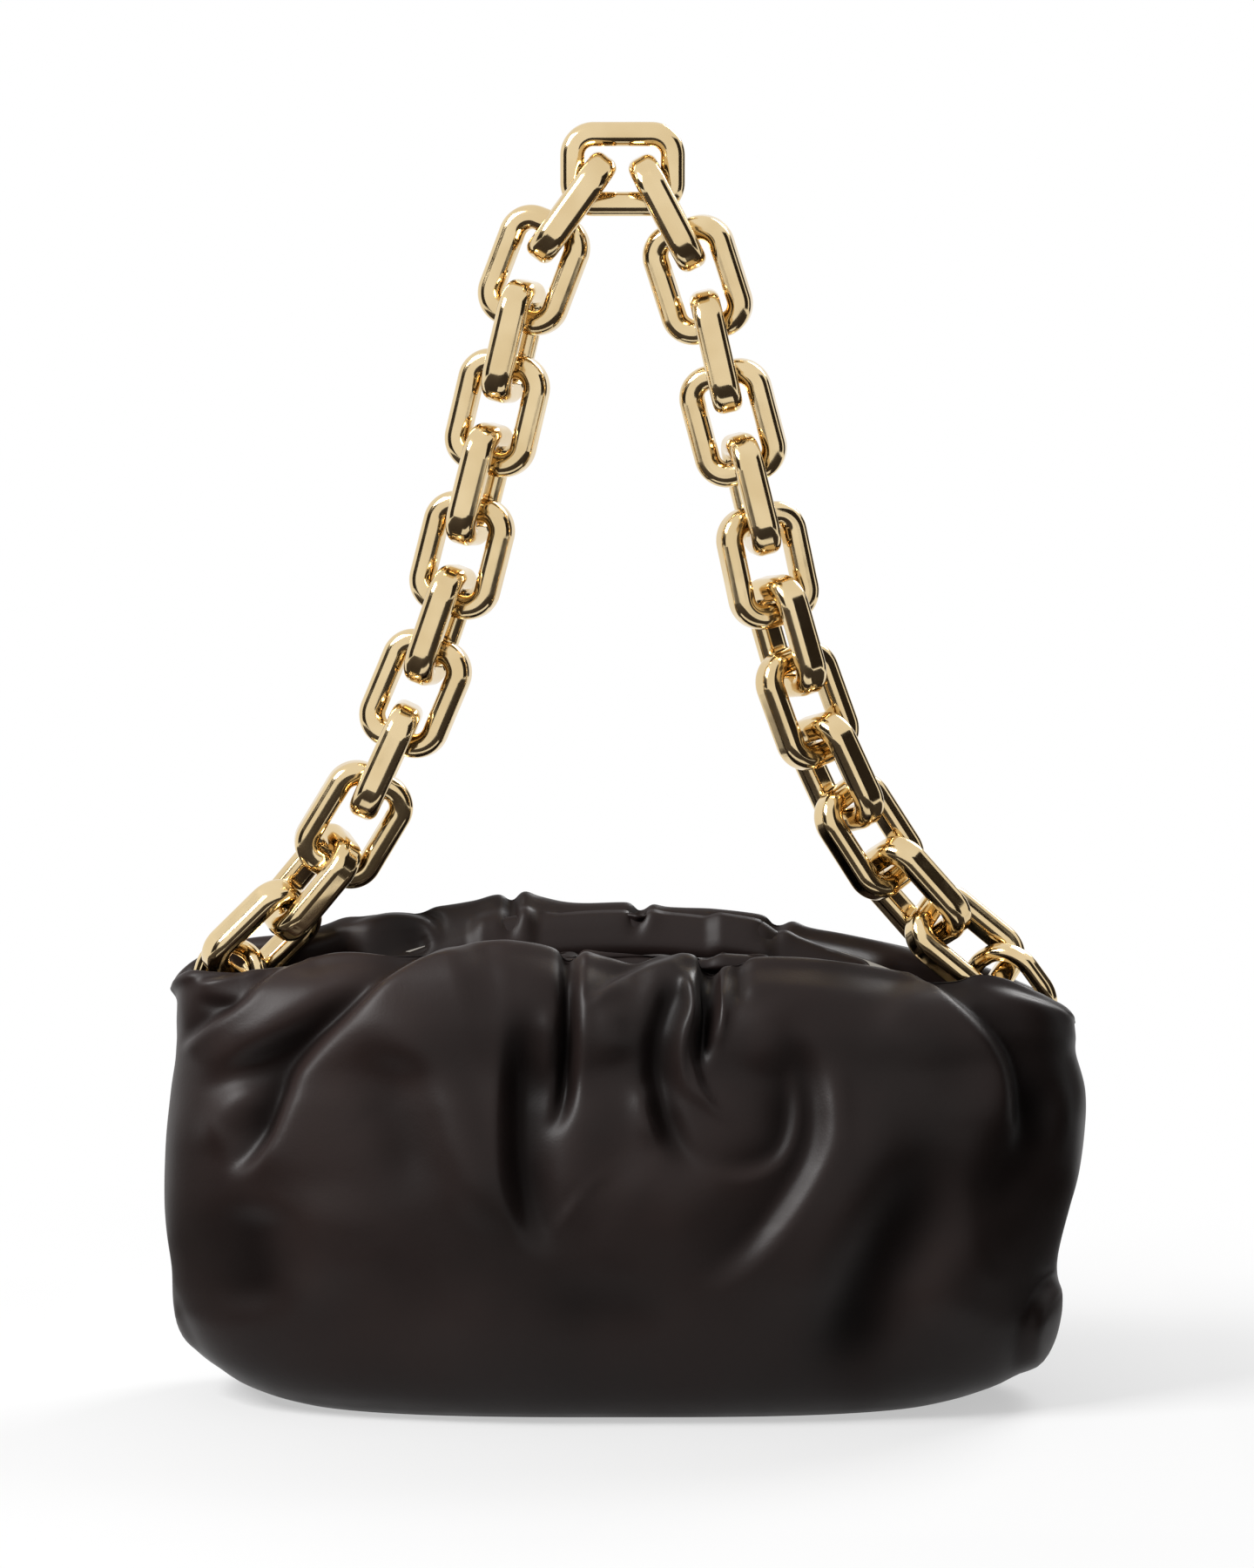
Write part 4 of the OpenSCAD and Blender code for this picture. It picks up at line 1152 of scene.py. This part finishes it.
def seenRay(tree):
    # 1 for a ray that shows the background, straight or in a reflection
    path = addNode(tree, "ShaderNodeLightPath")
    seen = addNode(tree, "ShaderNodeMath", {
        0: path.outputs["Is Camera Ray"], 1: path.outputs["Is Glossy Ray"]}, operation="MAXIMUM")
    return addNode(tree, "ShaderNodeMath", {
        0: seen.outputs[0], 1: path.outputs["Is Transmission Ray"]}, operation="MAXIMUM").outputs[0]


def floorSurface(tree, place):
    distance = addNode(tree, "ShaderNodeVectorMath", {0: place}, operation="LENGTH")
    far = addNode(tree, "ShaderNodeMapRange", {
        "Value": distance.outputs["Value"], "From Min": floor["fadeFrom"], "From Max": floor["fadeTo"],
        "To Min": floor["leastWhite"], "To Max": 1}, interpolation_type="SMOOTHSTEP")
    seen = seenRay(tree)
    # The floor looks pale, and throws little light back up on the bag
    bounce = addNode(tree, "ShaderNodeMix", {
        0: seen, 6: linear(floor["bounced"]), 7: linear(floor["seen"])}, data_type="RGBA")
    shader = addNode(tree, "ShaderNodeBsdfPrincipled", {
        "Base Color": bounce.outputs[2], "Roughness": floor["roughness"]})
    factor = addNode(tree, "ShaderNodeMath", {0: far.outputs[0], 1: seen}, operation="MULTIPLY")
    white = addNode(tree, "ShaderNodeEmission", {"Color": (1, 1, 1, 1), "Strength": 1})
    return addNode(tree, "ShaderNodeMixShader", {
        0: factor.outputs[0], 1: shader.outputs[0], 2: white.outputs[0]})


def addFloor():
    height = baseHeight * mm - floor["gap"]
    bpy.ops.mesh.primitive_plane_add(size=floor["size"], location=(0, 0, height))
    plane = bpy.context.object
    plane.name = "floor"
    plane.data.materials.append(newMaterial("paleFloor", floorSurface))


def addWorld():
    # Light from the room, more from above than from below, and a white background
    world = bpy.data.worlds.new("studio")
    bpy.context.scene.world = world
    world.use_nodes = True
    tree = world.node_tree
    tree.nodes.clear()
    around = addNode(tree, "ShaderNodeTexCoord").outputs["Generated"]
    direction = addNode(tree, "ShaderNodeSeparateXYZ", {0: around})
    strength = addNode(tree, "ShaderNodeMapRange", {
        "Value": direction.outputs["Z"], "From Min": -0.5, "From Max": 1,
        "To Min": room["below"], "To Max": room["above"]})
    fill = addNode(tree, "ShaderNodeBackground", {
        "Color": (1, 1, 1, 1), "Strength": strength.outputs[0]})
    plain = addNode(tree, "ShaderNodeBackground", {"Color": (1, 1, 1, 1), "Strength": 1})
    mix = addNode(tree, "ShaderNodeMixShader", {
        0: seenRay(tree), 1: fill.outputs[0], 2: plain.outputs[0]})
    addNode(tree, "ShaderNodeOutputWorld", {"Surface": mix.outputs[0]})


def facingAngles(place, aim):
    direction = [aim[i] - place[i] for i in range(3)]
    length = math.sqrt(sum(d * d for d in direction))
    return (math.acos(-direction[2] / length), 0, math.atan2(-direction[0], direction[1]))


def addLight(name, place, aim, size, power):
    data = bpy.data.lights.new(name, "AREA")
    data.shape = "RECTANGLE"
    data.size, data.size_y = size
    data.energy = power
    lamp = bpy.data.objects.new(name, data)
    lamp.location = place
    lamp.rotation_euler = facingAngles(place, aim)
    bpy.context.scene.collection.objects.link(lamp)


def cardSurface(tree, place):
    # Dull dark paint, the same all over
    return addNode(tree, "ShaderNodeBsdfPrincipled", {"Base Color": linear(cardColour), "Roughness": 1})


def addCard(name, place, aim, size):
    bpy.ops.mesh.primitive_plane_add(size=1, location=place, rotation=facingAngles(place, aim))
    card = bpy.context.object
    card.name = name
    card.scale = (*size, 1)
    card.data.materials.append(cardPaint)
    card.visible_camera = False
    card.visible_diffuse = False
    card.visible_shadow = False
    card.visible_transmission = False


cardPaint = newMaterial("cardPaint", cardSurface)
addFloor()
addWorld()
for name, (place, aim, size, power) in lights.items():
    addLight(name, place, aim, size, power)
for name, (place, aim, size) in cards.items():
    addCard(name, place, aim, size)
print("stage")
